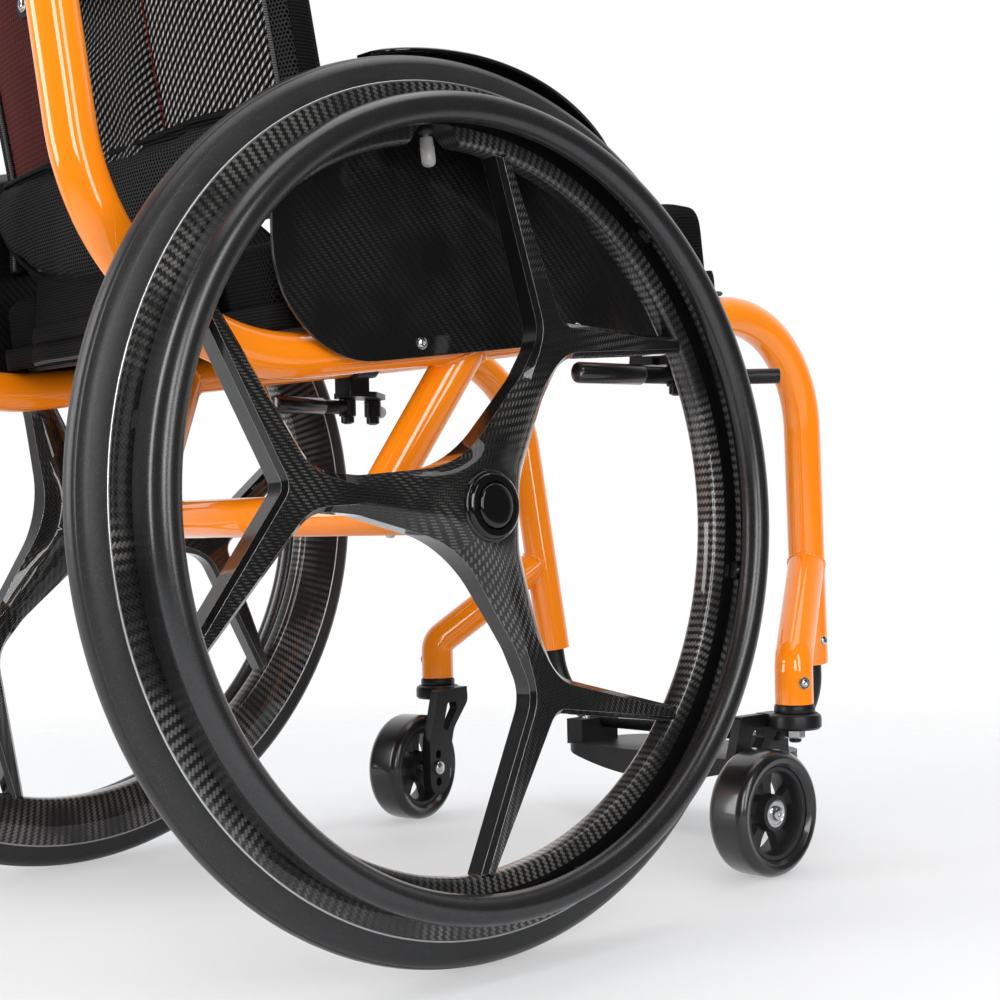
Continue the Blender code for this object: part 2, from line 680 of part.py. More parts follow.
def axle_tube():
    outer = rod((0, -AXLE_TUBE_HALF, AXLE_TUBE_Z), (0, AXLE_TUBE_HALF, AXLE_TUBE_Z),
                AXLE_TUBE_RADIUS, 16)
    inner = rod((0, -AXLE_TUBE_HALF - 0.01, AXLE_TUBE_Z), (0, AXLE_TUBE_HALF + 0.01, AXLE_TUBE_Z),
                AXLE_TUBE_BORE, 16)
    return cut(outer, inner)


def rail_point(x):
    """Centreline of the seat rail at x."""
    return Vector((x, RAIL_Y, RAIL_REAR_Z + (x - UPRIGHT_FOOT_X) * tan(RAIL_SLOPE)))


def upright_point(z):
    """Centreline of the back upright at height z."""
    share = (z - RAIL_REAR_Z) / (UPRIGHT_TOP - RAIL_REAR_Z)
    return Vector((UPRIGHT_FOOT_X + (UPRIGHT_TOP_X - UPRIGHT_FOOT_X) * share, RAIL_Y, z))


def leg_axis():
    return (LEG_FOOT - rail_point(LEG_TOP_X)).normalized()


def leg_point(z):
    """Centreline of the front leg at height z."""
    return LEG_FOOT + leg_axis() * ((z - LEG_FOOT.z) / leg_axis().z)


def side_path():
    corners = [LEG_FOOT, rail_point(LEG_TOP_X), rail_point(UPRIGHT_FOOT_X), upright_point(UPRIGHT_TOP)]
    return bent_path(corners, [FRONT_BEND, REAR_BEND])


def side_tube():
    """Leg, seat rail and back upright, one bent tube with a socket at its foot."""
    tube = swept(side_path(), FRAME_TUBE)
    axis = leg_axis()
    socket = rod(LEG_FOOT + axis * 0.01, LEG_FOOT - axis * FOOT_TUBE_INSERT,
                 FOOT_TUBE_RADIUS + GAP, FRAME_SIDES)
    return cut(tube, socket)


def strut():
    """Brace from the seat rail down to the axle tube, coped at both ends."""
    foot = Vector((STRUT_FOOT_X, AXLE_TUBE_HALF - STRUT_FROM_END, AXLE_TUBE_Z))
    brace = rod(foot, rail_point(STRUT_TOP_X), STRUT_RADIUS, FRAME_SIDES)
    cope = 4 * STRUT_RADIUS
    rail = rod(rail_point(STRUT_TOP_X - cope), rail_point(STRUT_TOP_X + cope), FRAME_TUBE + GAP, 20)
    axle = rod(foot + Vector((-STRUT_FOOT_X, -cope, 0)), foot + Vector((-STRUT_FOOT_X, cope, 0)),
               AXLE_TUBE_RADIUS + GAP, 20)
    return cut(brace, rail, axle)


def caster_arm():
    """Tube from the leg out to the upright housing that holds the caster stem."""
    foot = Vector((CASTER_X, CASTER_Y, HOUSING_BOTTOM))
    corner = Vector((CASTER_X, CASTER_Y, HOUSING_TOP))
    arm = swept([foot, corner, leg_point(CASTER_ARM_TOP)], HOUSING_RADIUS)
    bore = rod((CASTER_X, CASTER_Y, HOUSING_BOTTOM - 0.01),
               (CASTER_X, CASTER_Y, HOUSING_BOTTOM + STEM_LENGTH + 0.001), STEM_RADIUS + GAP, 14)
    leg = rod(LEG_FOOT + leg_axis() * 0.02, rail_point(LEG_TOP_X), FRAME_TUBE + GAP, 20)
    return cut(arm, leg, bore)


def caster_stem():
    """Fixed stem with a collar under the housing and a thread for the nut."""
    return turned([(0, CROWN_BOTTOM - 0.011), (STEM_RADIUS - 0.001, CROWN_BOTTOM - 0.011),
                   (STEM_RADIUS - 0.001, CROWN_TOP), (STEM_RADIUS, CROWN_TOP + GAP),
                   (HOUSING_RADIUS + 0.001, CROWN_TOP + GAP),
                   (HOUSING_RADIUS + 0.001, HOUSING_BOTTOM - 0.0015),
                   (HOUSING_RADIUS, HOUSING_BOTTOM - GAP),
                   (STEM_RADIUS, HOUSING_BOTTOM - GAP), (STEM_RADIUS, HOUSING_BOTTOM + STEM_LENGTH),
                   (0, HOUSING_BOTTOM + STEM_LENGTH)], 12)


def caster_nut():
    """Lock nut under the fork's crown."""
    outer = turned([(0, CROWN_BOTTOM - 0.0075), (0.0080, CROWN_BOTTOM - 0.0075),
                    (0.0080, CROWN_BOTTOM - 0.0005 - GAP), (0, CROWN_BOTTOM - 0.0005 - GAP)], 6)
    bore = rod((0, 0, CROWN_BOTTOM - 0.02), (0, 0, CROWN_BOTTOM + 0.02), STEM_RADIUS - 0.001 + GAP, 16)
    return cut(outer, bore)


def caster_fork():
    """Single-sided fork: a round crown and one leg on the inboard side of the wheel."""
    inner_y = -(CASTER_HALF_WIDTH + FORK_CLEARANCE)
    crown = turned([(0, CROWN_BOTTOM), (CROWN_RADIUS - 0.002, CROWN_BOTTOM), (CROWN_RADIUS, CROWN_BOTTOM + 0.002),
                    (CROWN_RADIUS, CROWN_TOP - 0.004), (CROWN_RADIUS - 0.003, CROWN_TOP), (0, CROWN_TOP)], 18)
    leg_outline = rounded_outline(
        [(x - CASTER_TRAIL, z + CASTER_RADIUS, r) for x, z, r in FORK_OUTLINE], arc_steps=2)
    leg = plate(leg_outline, 0, FORK_WALL, side_view(inner_y))
    bridge = box((-0.012, inner_y - FORK_WALL + 0.001, CROWN_BOTTOM + 0.001), (0.0075, -0.002, CROWN_TOP - 0.001))
    slot = plate(rounded_outline([(x - CASTER_TRAIL, z + CASTER_RADIUS, r) for x, z, r in FORK_SLOT], 2),
                 -0.02, 0.02, side_view(inner_y))
    bore = rod((0, 0, CROWN_BOTTOM - 0.02), (0, 0, CROWN_TOP + 0.02), STEM_RADIUS - 0.001 + 0.0006, 16)
    holes = [rod((-CASTER_TRAIL, inner_y - 0.02, CASTER_RADIUS + step),
                 (-CASTER_TRAIL, 0, CASTER_RADIUS + step), CASTER_AXLE_RADIUS + GAP, 10)
             for step in (-FORK_HOLE_STEP, 0, FORK_HOLE_STEP)]
    return cut(join(crown, bridge, leg), slot, bore, *holes)


def caster_tyre():
    """Wide rounded urethane tread."""
    half = CASTER_HALF_WIDTH
    profile = [(CASTER_HUB_RADIUS + GAP, half - 0.005), (CASTER_HUB_RADIUS + 0.0025, half - 0.001),
               (CASTER_RADIUS - 0.0080, half), (CASTER_RADIUS - 0.0030, half - 0.004),
               (CASTER_RADIUS, half - 0.012)]
    other = [(r, -w) for r, w in reversed(profile)]
    return turned(profile + other, CASTER_STEPS, closed=True)


def caster_hub():
    """Alloy hub with five dished spokes and a bearing seat on each side."""
    half = CASTER_HALF_WIDTH - 0.005
    rim = turned([(CASTER_HUB_RADIUS, half), (CASTER_HUB_RADIUS, -half),
                  (CASTER_HUB_RADIUS - 0.0040, -half), (CASTER_HUB_RADIUS - 0.0055, 0),
                  (CASTER_HUB_RADIUS - 0.0040, half)], CASTER_STEPS, closed=True)
    boss_half = CASTER_HUB_BOSS
    boss = turned([(CASTER_AXLE_RADIUS + 0.0015, -boss_half), (CASTER_BEARING_RADIUS + 0.0035, -boss_half),
                   (CASTER_BEARING_RADIUS + 0.0035, boss_half), (CASTER_AXLE_RADIUS + 0.0015, boss_half)],
                  16, closed=True)
    hub = rim
    for k in range(CASTER_SPOKES):
        spoke = box((CASTER_BEARING_RADIUS, -0.0042, -0.0065),
                    (CASTER_HUB_RADIUS - 0.003, 0.0042, 0.0065))
        hub = join(hub, placed(spoke, Matrix.Rotation(2 * pi * k / CASTER_SPOKES + 0.3, 4, "Z")))
    hub = join(hub, boss)
    seat = turned([(0, boss_half - CASTER_BEARING_WIDTH - GAP),
                   (CASTER_BEARING_RADIUS + GAP, boss_half - CASTER_BEARING_WIDTH - GAP),
                   (CASTER_BEARING_RADIUS + GAP, boss_half + 0.01), (0, boss_half + 0.01)], 16)
    return cut(hub, seat)


def caster_bearing():
    outer_face = CASTER_HUB_BOSS
    return turned([(CASTER_AXLE_RADIUS + GAP, outer_face - CASTER_BEARING_WIDTH),
                   (CASTER_BEARING_RADIUS, outer_face - CASTER_BEARING_WIDTH),
                   (CASTER_BEARING_RADIUS, outer_face), (CASTER_AXLE_RADIUS + GAP, outer_face)],
                  14, closed=True)


def caster_axle():
    """Bolt through the hub into the fork, with a round head on each end."""
    fork_in = CASTER_HALF_WIDTH + FORK_CLEARANCE
    fork_out = fork_in + FORK_WALL
    head = CASTER_HUB_BOSS + GAP
    return turned([(0, -fork_out - 0.0040), (0.0065, -fork_out - 0.0030), (0.0065, -fork_out - GAP),
                   (CASTER_AXLE_RADIUS, -fork_out - GAP), (CASTER_AXLE_RADIUS, -fork_in + GAP),
                   (0.0060, -fork_in + GAP), (0.0060, -CASTER_HUB_BOSS - GAP),
                   (CASTER_AXLE_RADIUS, -CASTER_HUB_BOSS - GAP), (CASTER_AXLE_RADIUS, head),
                   (0.0060, head), (0.0055, head + 0.0025), (0, head + 0.0030)], 12)


def foot_path():
    """Centreline of the foot tube, from one leg's socket across to the other's."""
    axis = leg_axis()
    top = LEG_FOOT - axis * (FOOT_TUBE_INSERT - 0.002)
    corner = leg_point(FOOT_TUBE_Z)
    flip = Vector((1, -1, 1))
    return bent_path([top, corner, corner * flip, top * flip], [FOOT_BEND, FOOT_BEND], radians(16))


def foot_tube():
    return swept(foot_path(), FOOT_TUBE_RADIUS, 12)


def footplate():
    """Footplate with a boat-shaped underside, hung on the foot tube by two lugs."""
    corners = [(FOOTPLATE_REAR, -FOOTPLATE_HALF, FOOTPLATE_CORNER),
               (FOOTPLATE_FRONT, -FOOTPLATE_HALF * 0.92, FOOTPLATE_TOE_CORNER),
               (FOOTPLATE_FRONT, FOOTPLATE_HALF * 0.92, FOOTPLATE_TOE_CORNER),
               (FOOTPLATE_REAR, FOOTPLATE_HALF, FOOTPLATE_CORNER)]
    outline = rounded_outline(corners, 5)
    low = FOOTPLATE_TOP - FOOTPLATE_CENTRE_DEPTH
    solid = plate(outline, low - 0.002, FOOTPLATE_TOP)
    hull = []
    for k in range(13):
        y = (FOOTPLATE_HALF + 0.004) * (1 - k / 6)
        share = (y / FOOTPLATE_HALF) ** 2
        depth = FOOTPLATE_CENTRE_DEPTH + (FOOTPLATE_END_DEPTH - FOOTPLATE_CENTRE_DEPTH) * min(1.0, share)
        hull.append((y, FOOTPLATE_TOP - depth))
    below = [(FOOTPLATE_HALF + 0.004, low - 0.01), *hull, (-FOOTPLATE_HALF - 0.004, low - 0.01)]
    across = Matrix(((0, 0, 1, 0), (1, 0, 0, 0), (0, 1, 0, 0), (0, 0, 0, 1)))
    under = plate(below, FOOTPLATE_REAR - 0.01, FOOTPLATE_FRONT + 0.01, across)
    tray = cut(solid, under)
    crossing = leg_point(FOOT_TUBE_Z).x
    tube = swept(foot_path(), FOOT_TUBE_RADIUS + GAP, 12)
    for side in (-1, 1):
        inner, outer = sorted((side * LUG_Y, side * (LUG_Y + LUG_WIDTH)))
        lug = box((LUG_REAR, inner, FOOTPLATE_TOP - 0.002),
                  (crossing + FOOT_TUBE_RADIUS + 0.006, outer, FOOT_TUBE_Z + 0.001))
        tray = join(tray, lug)
    return cut(tray, tube)


def fender_point(k, inset=0.0):
    """Angle and radius of the fender's outer face at step k, from its front end."""
    share = k / FENDER_STEPS
    angle = FENDER_FRONT + (FENDER_REAR - FENDER_FRONT) * share
    rise = FENDER_FRONT_RISE + (FENDER_REAR_RISE - FENDER_FRONT_RISE) * share
    radius = WHEEL_RADIUS + rise - inset
    return radius * cos(angle), WHEEL_AXLE_Z + radius * sin(angle)


def guard_outline():
    """Side guard seen from the side; its top edge follows the fender's arc."""
    arc = [Vector(fender_point(k, FENDER_WALL / 2)) for k in range(FENDER_STEPS + 1)]
    return rounded_outline([*GUARD_OUTLINE], 5) + arc


def side_guard():
    """Carbon side guard with a fender lip over the tyre and two spacers on the rail."""
    sheet = plate(guard_outline(), -GUARD_WALL / 2, GUARD_WALL / 2, side_view(GUARD_Y))
    bm = bmesh.new()
    rows = []
    foot = GUARD_Y - GUARD_WALL / 2
    for k in range(FENDER_STEPS + 1):
        share = sin(pi * k / FENDER_STEPS) ** 0.5 if 0 < k < FENDER_STEPS else 0.0
        edge = foot + (FENDER_EDGE_Y - foot) * (0.35 + 0.65 * share)
        outer = fender_point(k)
        inner = fender_point(k, FENDER_WALL)
        corners = ((outer, foot), (outer, edge), (inner, edge), (inner, foot))
        rows.append([bm.verts.new((x, y, z)) for (x, z), y in corners])
    for first, second in zip(rows, rows[1:]):
        for i in range(4):
            j = (i + 1) % 4
            bm.faces.new((first[i], first[j], second[j], second[i]))
    bm.faces.new(rows[0][::-1])
    bm.faces.new(rows[-1])
    guard = join(bm, sheet)
    inner_face = GUARD_Y - GUARD_WALL / 2 + 0.0004
    for x in GUARD_SCREWS:
        seat = rail_point(x)
        spacer = rod((x, seat.y + FRAME_TUBE + GAP, seat.z), (x, inner_face, seat.z), 0.0070, 12)
        guard = join(guard, spacer)
    return guard


def brake_clamp():
    """Clamp round the seat rail with a plate below that carries both pivots."""
    middle = rail_point(CLAMP_X)
    jaw = FRAME_TUBE + CLAMP_JAW
    ring = box((-CLAMP_HALF, -jaw, -jaw), (CLAMP_HALF, jaw, FRAME_TUBE - CLAMP_UNDER_SLING))
    placed(ring, Matrix.Translation(middle) @ Matrix.Rotation(-RAIL_SLOPE, 4, "Y"))
    shelf_low = BRAKE_Z + LEVER_RADIUS + GAP
    post = box((CLAMP_X - CLAMP_HALF + 0.001, RAIL_Y - 0.006, shelf_low),
               (CLAMP_X + CLAMP_HALF - 0.001, RAIL_Y + jaw - 0.001, middle.z - 0.008))
    reach = BRAKE_EYE_RADIUS + 0.002
    shelf = plate(rounded_outline([(CLAMP_X - CLAMP_HALF, RAIL_Y - 0.008, 0.003),
                                   (CLAMP_X + CLAMP_HALF + 0.006, RAIL_Y - 0.008, 0.006),
                                   (BAR_PIVOT.x + reach, BAR_PIVOT.y - 0.008, 0.006),
                                   (BAR_PIVOT.x + reach, BAR_PIVOT.y + reach, 0.006),
                                   (LEVER_PIVOT.x - reach, LEVER_PIVOT.y + reach, 0.006)], 3),
                  shelf_low, shelf_low + BRAKE_PLATE)
    rail = rod(rail_point(CLAMP_X - 0.05), rail_point(CLAMP_X + 0.05), FRAME_TUBE + GAP, 24)
    holes = [rod(p - Vector((0, 0, 0.002)), p + Vector((0, 0, LEVER_RADIUS + BRAKE_PLATE + 0.01)),
                 BRAKE_PIN_RADIUS + GAP, 12) for p in (LEVER_PIVOT, BAR_PIVOT)]
    return cut(join(post, shelf, ring), rail, *holes)


def swung(bm, angle):
    return placed(bm, Matrix.Rotation(angle, 4, "Z"))


def brake_bar():
    """Round bar that swings out to press on the tyre, with its eye at the pivot."""
    eye = rod((0, 0, -LEVER_RADIUS), (0, 0, LEVER_RADIUS), BRAKE_EYE_RADIUS, 14)
    bar = rod((0.004, 0, 0), (BAR_LENGTH, 0, 0), BAR_ROD, 12)
    bore = rod((0, 0, -0.02), (0, 0, 0.02), BRAKE_PIN_RADIUS + GAP, 12)
    return swung(cut(join(eye, bar), bore), BAR_REST)


def brake_lever():
    """Round hand lever behind the clamp, with a thicker grip on its end."""
    eye = rod((0, 0, -LEVER_RADIUS), (0, 0, LEVER_RADIUS), BRAKE_EYE_RADIUS, 14)
    shank = rod((0.004, 0, 0), (LEVER_LENGTH - 0.004, 0, 0), LEVER_RADIUS - 0.0012, 12)
    grip = rod((LEVER_LENGTH - LEVER_GRIP_LENGTH, 0, 0), (LEVER_LENGTH, 0, 0), LEVER_RADIUS, 14)
    bore = rod((0, 0, -0.02), (0, 0, 0.02), BRAKE_PIN_RADIUS + GAP, 12)
    return swung(cut(join(eye, shank, grip), bore), pi + LEVER_REST)


def brake_pin():
    """Pivot bolt with its nut below, from the clamp's plate down through an eye."""
    top = LEVER_RADIUS + GAP + BRAKE_PLATE
    nut_top = -LEVER_RADIUS - GAP
    return turned([(0, nut_top - BRAKE_NUT), (0.0035, nut_top - BRAKE_NUT), (0.0062, nut_top - BRAKE_NUT + 0.0015),
                   (0.0062, nut_top), (BRAKE_PIN_RADIUS, nut_top), (BRAKE_PIN_RADIUS, top), (0, top)], 10)


def seat_matrix():
    """Frame whose X runs along the seat rail, from above the axle."""
    return Matrix.Translation((0, 0, rail_point(0.0).z)) @ Matrix.Rotation(-RAIL_SLOPE, 4, "Y")


def seat_sling():
    low = FRAME_TUBE + GAP
    outline = rounded_outline([(SLING_REAR, -SEAT_HALF, 0.008), (SEAT_FRONT, -SEAT_HALF, 0.012),
                               (SEAT_FRONT, SEAT_HALF, 0.012), (SLING_REAR, SEAT_HALF, 0.008)], 3)
    return plate(outline, low, low + SLING_WALL, seat_matrix())


def pillow(corners, low, high_rear, high_front, crown):
    """A cushion slab with rounded corners, drawn-in sides and a crowned top."""
    bm = bmesh.new()
    x0, x1 = corners[0][0], corners[1][0]
    half = corners[2][1]
    levels = (0.0, 0.10, 0.34, 0.66, 0.90, 1.0)
    draw = (0.008, 0.0025, 0.0, 0.0, 0.0015, 0.0060)
    outline = rounded_outline(corners, 5)
    centre = Vector(((x0 + x1) / 2, 0))
    loops = []
    for level, pull in zip(levels, draw):
        loop = []
        for p in outline:
            inward = Vector(((p.x - centre.x) / ((x1 - x0) / 2), p.y / half))
            x = p.x - pull * inward.x
            y = p.y - pull * inward.y
            share = (x - x0) / (x1 - x0)
            top = high_rear + (high_front - high_rear) * share
            loop.append(bm.verts.new((x, y, low + (top - low) * level)))
        loops.append(loop)
    for first, second in zip(loops, loops[1:]):
        for i in range(len(outline)):
            j = (i + 1) % len(outline)
            bm.faces.new((first[i], first[j], second[j], second[i]))
    bm.faces.new(loops[0][::-1])
    ring = loops[-1]
    for inset, lift in ((0.72, 0.62), (0.40, 0.92)):
        loop = []
        for v in loops[-1]:
            x = centre.x + (v.co.x - centre.x) * inset
            y = v.co.y * inset
            share = (x - x0) / (x1 - x0)
            top = high_rear + (high_front - high_rear) * share
            loop.append(bm.verts.new((x, y, top + crown * lift)))
        for i in range(len(outline)):
            j = (i + 1) % len(outline)
            bm.faces.new((ring[i], ring[j], loop[j], loop[i]))
        ring = loop
    middle = bm.verts.new((centre.x, 0, (high_rear + high_front) / 2 + crown))
    for i in range(len(outline)):
        bm.faces.new((ring[i], ring[(i + 1) % len(outline)], middle))
    return bm


def seat_cushion():
    low = FRAME_TUBE + SLING_WALL + 2 * GAP
    corners = [(SEAT_REAR, -SEAT_HALF, CUSHION_CORNER), (SEAT_FRONT, -SEAT_HALF, CUSHION_CORNER),
               (SEAT_FRONT, SEAT_HALF, CUSHION_CORNER), (SEAT_REAR, SEAT_HALF, CUSHION_CORNER)]
    cushion = pillow(corners, low, low + CUSHION_REAR, low + CUSHION_FRONT, CUSHION_CROWN)
    return placed(cushion, seat_matrix())


def back_depth(y, z=BACK_LEVEL):
    """How far the backrest's rear face lies behind BACK_X at y and z."""
    return BACK_CURVE * (1 - (y / BACK_HALF) ** 2) + max(0.0, z - BACK_LEVEL) * tan(BACK_RECLINE)


def curved_slab(rear, thickness, half, z0, z1, columns=12, crown=0.0, rounding=0.0):
    """An upright slab bowed backwards in its middle, flat or crowned at the front."""
    bm = bmesh.new()
    layers = []
    heights = [z0, z0 + SLAB_EDGE, z1 - SLAB_EDGE, z1]
    if z0 + SLAB_EDGE < BACK_LEVEL < z1 - SLAB_EDGE:
        heights[2:2] = [BACK_LEVEL, (BACK_LEVEL + z1) / 2]
    for z_index, z in enumerate(heights):
        edge = rounding if z_index in (0, len(heights) - 1) else 0.0
        back_row, front_row = [], []
        for i in range(columns + 1):
            y = (half - edge) * (2 * i / columns - 1)
            bow = rear - back_depth(y, z)
            swell = crown * (1 - (y / half) ** 2) * (0.0 if edge else 1.0)
            side_pull = rounding * 0.4 if i in (0, columns) else 0.0
            back_row.append(bm.verts.new((bow + side_pull * 0.5, y, z)))
            front_row.append(bm.verts.new((bow + thickness + swell - edge - side_pull, y, z)))
        layers.append(back_row + front_row[::-1])
    for first, second in zip(layers, layers[1:]):
        for i in range(len(first)):
            j = (i + 1) % len(first)
            bm.faces.new((first[i], first[j], second[j], second[i]))
    count = columns + 1
    for layer, flip in ((layers[0], True), (layers[-1], False)):
        for i in range(columns):
            face = [layer[i], layer[i + 1], layer[2 * count - 2 - i], layer[2 * count - 1 - i]]
            bm.faces.new(face[::-1] if flip else face)
    return bm


def back_cover():
    """Rear fabric panel with the wide lumbar band across its foot."""
    panel = curved_slab(BACK_X, BACK_COVER, BACK_HALF, BACK_BOTTOM, BACK_TOP)
    band = curved_slab(BACK_X - BAND_PROUD, BAND_PROUD + BACK_COVER * 0.5, BACK_HALF - 0.002,
                       BAND_BOTTOM, BAND_TOP)
    return join(panel, band, tail_flap())


def back_shell():
    return curved_slab(BACK_X + BACK_COVER + GAP, BACK_SHELL, BACK_HALF - 0.006,
                       BACK_BOTTOM + 0.004, BACK_TOP - 0.008)


def back_pad():
    return curved_slab(BACK_X + BACK_COVER + BACK_SHELL + 2 * GAP, BACK_PAD, BACK_HALF,
                       BACK_BOTTOM, BACK_TOP, crown=BACK_PAD_CROWN, rounding=0.004)


def tail_flap():
    """Loose tail of the back cover that hangs behind the seat."""
    top = BAND_BOTTOM + 0.004
    x = BACK_X - BAND_PROUD
    bm = bmesh.new()
    columns = 10
    layers = []
    for z, shift in ((FLAP_BOTTOM, -0.001), ((FLAP_BOTTOM + top) / 2, -0.004), (top, 0.0)):
        rear, front = [], []
        for i in range(columns + 1):
            y = FLAP_HALF * (2 * i / columns - 1)
            wave = 0.0022 * sin(i * 1.9)
            base = x - back_depth(y, z) + shift + wave
            rear.append(bm.verts.new((base, y, z)))
            front.append(bm.verts.new((base + 0.006, y, z)))
        layers.append(rear + front[::-1])
    for first, second in zip(layers, layers[1:]):
        for i in range(len(first)):
            j = (i + 1) % len(first)
            bm.faces.new((first[i], first[j], second[j], second[i]))
    count = columns + 1
    for layer in (layers[0], layers[-1]):
        for i in range(columns):
            bm.faces.new([layer[i], layer[i + 1], layer[2 * count - 2 - i], layer[2 * count - 1 - i]])
    return bm


def back_bracket():
    """Cross bar clamped to both uprights, with two arms to the plate on the backrest."""
    flip = Vector((1, -1, 1))
    end = upright_point(BAR_Z)
    low = upright_point(BAR_Z - CLAMP_WIDTH / 2)
    high = upright_point(BAR_Z + CLAMP_WIDTH / 2)
    bar = rod(end * flip, end, BAR_RADIUS, 12)
    lean = (BAR_Z + BRACKET_PLATE[2] / 2 - BACK_LEVEL) * tan(BACK_RECLINE)
    plate_x = BACK_X - BACK_CURVE - lean - GAP - BRACKET_PLATE[0]
    pieces = []
    holes = []
    for side in (Vector((1, 1, 1)), flip):
        arm = Vector((0, side.y * BRACKET_ARM_Y, BAR_Z))
        pieces.append(rod(arm + Vector((end.x, 0, 0)), arm + Vector((plate_x + 0.001, 0, 0)),
                          BRACKET_ARM_RADIUS, 12))
        pieces.append(rod(low * side, high * side, FRAME_TUBE + CLAMP_WALL, 18))
        over = (high - low) * 0.5
        holes.append(rod((low - over) * side, (high + over) * side, FRAME_TUBE + GAP, 18))
    pieces.append(box((plate_x, -BRACKET_PLATE[1] / 2, BAR_Z - BRACKET_PLATE[2] / 2),
                      (plate_x + BRACKET_PLATE[0], BRACKET_PLATE[1] / 2, BAR_Z + BRACKET_PLATE[2] / 2)))
    return cut(join(bar, *pieces), *holes)


def upright_cap():
    """Plug that closes the top of a back upright."""
    top = upright_point(UPRIGHT_TOP)
    stand = Matrix.Translation(top) @ frame_along(top - upright_point(RAIL_REAR_Z))
    return turned([(0, GAP), (FRAME_TUBE, GAP), (FRAME_TUBE, 0.002), (FRAME_TUBE - 0.003, 0.006),
                   (0, 0.008)], 16, stand)


def both_sides(name, build, material):
    for side, word in ((1, "left"), (-1, "right")):
        piece = build()
        if side < 0:
            mirrored(piece)
        node(f"{word}_{name}", piece, material)


def build_rear_wheel(side, word, arm_phase, finishes):
    stand = wheel_frame(side)
    spin = make_empty(f"{word}_wheel_axis", stand)
    phase = (wheel_angle(side, arm_phase), wheel_angle(side, VALVE_PHASE))
    node(f"{word}_wheel_body", wheel_body(phase), finishes["carbon"], spin)
    node(f"{word}_tyre", tyre_ring(), finishes["rubber"], spin)
    node(f"{word}_handrim", handrim_ring(wheel_angle(side, HANDRIM_TAB_PHASE)), finishes["black"], spin)
    node(f"{word}_valve", valve_stem(phase[1]), finishes["silver"], spin)
    inner = -HUB_INNER
    bearing = turned([(AXLE_PIN_RADIUS + GAP, inner), (BEARING_RADIUS, inner),
                      (BEARING_RADIUS, inner + BEARING_WIDTH), (AXLE_PIN_RADIUS + GAP, inner + BEARING_WIDTH)],
                     14, closed=True)
    node(f"{word}_wheel_bearing", bearing, finishes["silver"], spin)
    node(f"{word}_axle_pin", placed(axle_pin(), stand), finishes["silver"])
    node(f"{word}_axle_button", axle_button(), finishes["black"],
         make_empty(f"{word}_button_axis", stand))
    node(f"{word}_camber_plug", camber_plug(side), finishes["black"])


def build_caster(side, word, finishes):
    stand = Matrix.Translation((CASTER_X, side * CASTER_Y, 0)) \
        @ Matrix.Rotation(LEFT_SWIVEL if side > 0 else 0.0, 4, "Z")
    swivel = make_empty(f"{word}_swivel_axis", stand)
    hub_turn = frame_along((0, 1, 0))
    wheel = make_empty(f"{word}_caster_axis", stand @ Matrix.Translation((-CASTER_TRAIL, 0, CASTER_RADIUS)))

    def handed(bm, turn=None):
        if turn is not None:
            placed(bm, turn)
        return bm if side > 0 else mirrored(bm)

    node(f"{word}_caster_stem", caster_stem(), finishes["black"], None,
         Matrix.Translation((CASTER_X, side * CASTER_Y, 0)))
    node(f"{word}_caster_nut", caster_nut(), finishes["silver"], swivel)
    node(f"{word}_caster_fork", handed(caster_fork()), finishes["black"], swivel)
    node(f"{word}_caster_axle", handed(caster_axle(), Matrix.Translation(
        (-CASTER_TRAIL, 0, CASTER_RADIUS)) @ hub_turn), finishes["silver"], swivel)
    node(f"{word}_caster_hub", handed(caster_hub(), hub_turn), finishes["black"], wheel)
    node(f"{word}_caster_tyre", handed(caster_tyre(), hub_turn), finishes["rubber"], wheel)
    node(f"{word}_caster_bearing", handed(caster_bearing(), hub_turn), finishes["silver"], wheel)


def build_brake(side, word, finishes):
    clamp = brake_clamp()
    node(f"{word}_brake_clamp", clamp if side > 0 else mirrored(clamp), finishes["black"])
    for name, piece, pin, pivot in (("brake_bar", brake_bar(), "bar_pivot", BAR_PIVOT),
                                    ("brake_lever", brake_lever(), "lever_pivot", LEVER_PIVOT)):
        stand = Matrix.Translation((pivot.x, side * pivot.y, pivot.z))
        axis = make_empty(f"{word}_{name}_axis", stand)
        node(f"{word}_{name}", piece if side > 0 else mirrored(piece), finishes["black"], axis)
        node(f"{word}_{pin}", brake_pin(), finishes["black"], None, stand)


def build():
    clear_scene()
    finishes = {
        "paint": make_material("orange_paint", PAINT, 0.18, 0.0),
        "black": make_material("black_anodised", BLACK, 0.35, 0.6),
        "rubber": make_material("black_rubber", RUBBER, 0.6, 0.0),
        "carbon": make_material("carbon_fibre", CARBON, 0.15, 0.0),
        "silver": make_material("bright_steel", SILVER, 0.25, 1.0),
        "cloth": make_material("spacer_mesh", MESH_CLOTH, 0.85, 0.0),
    }
    both_sides("side_tube", side_tube, finishes["paint"])
    both_sides("strut", strut, finishes["paint"])
    both_sides("caster_arm", caster_arm, finishes["paint"])
    both_sides("upright_cap", upright_cap, finishes["black"])
    both_sides("side_guard", side_guard, finishes["carbon"])
    node("foot_tube", foot_tube(), finishes["black"])
    node("axle_tube", axle_tube(), finishes["paint"])
    for side, word, phase in ((1, "left", LEFT_ARM_PHASE), (-1, "right", RIGHT_ARM_PHASE)):
        build_rear_wheel(side, word, phase, finishes)
        build_caster(side, word, finishes)
        build_brake(side, word, finishes)
    node("footplate", footplate(), finishes["black"])
    node("seat_sling", seat_sling(), finishes["cloth"])
    node("seat_cushion", seat_cushion(), finishes["cloth"])
    node("back_cover", back_cover(), finishes["cloth"])
    node("back_shell", back_shell(), finishes["carbon"])
    node("back_pad", back_pad(), finishes["cloth"])
    node("back_bracket", back_bracket(), finishes["black"])


build()
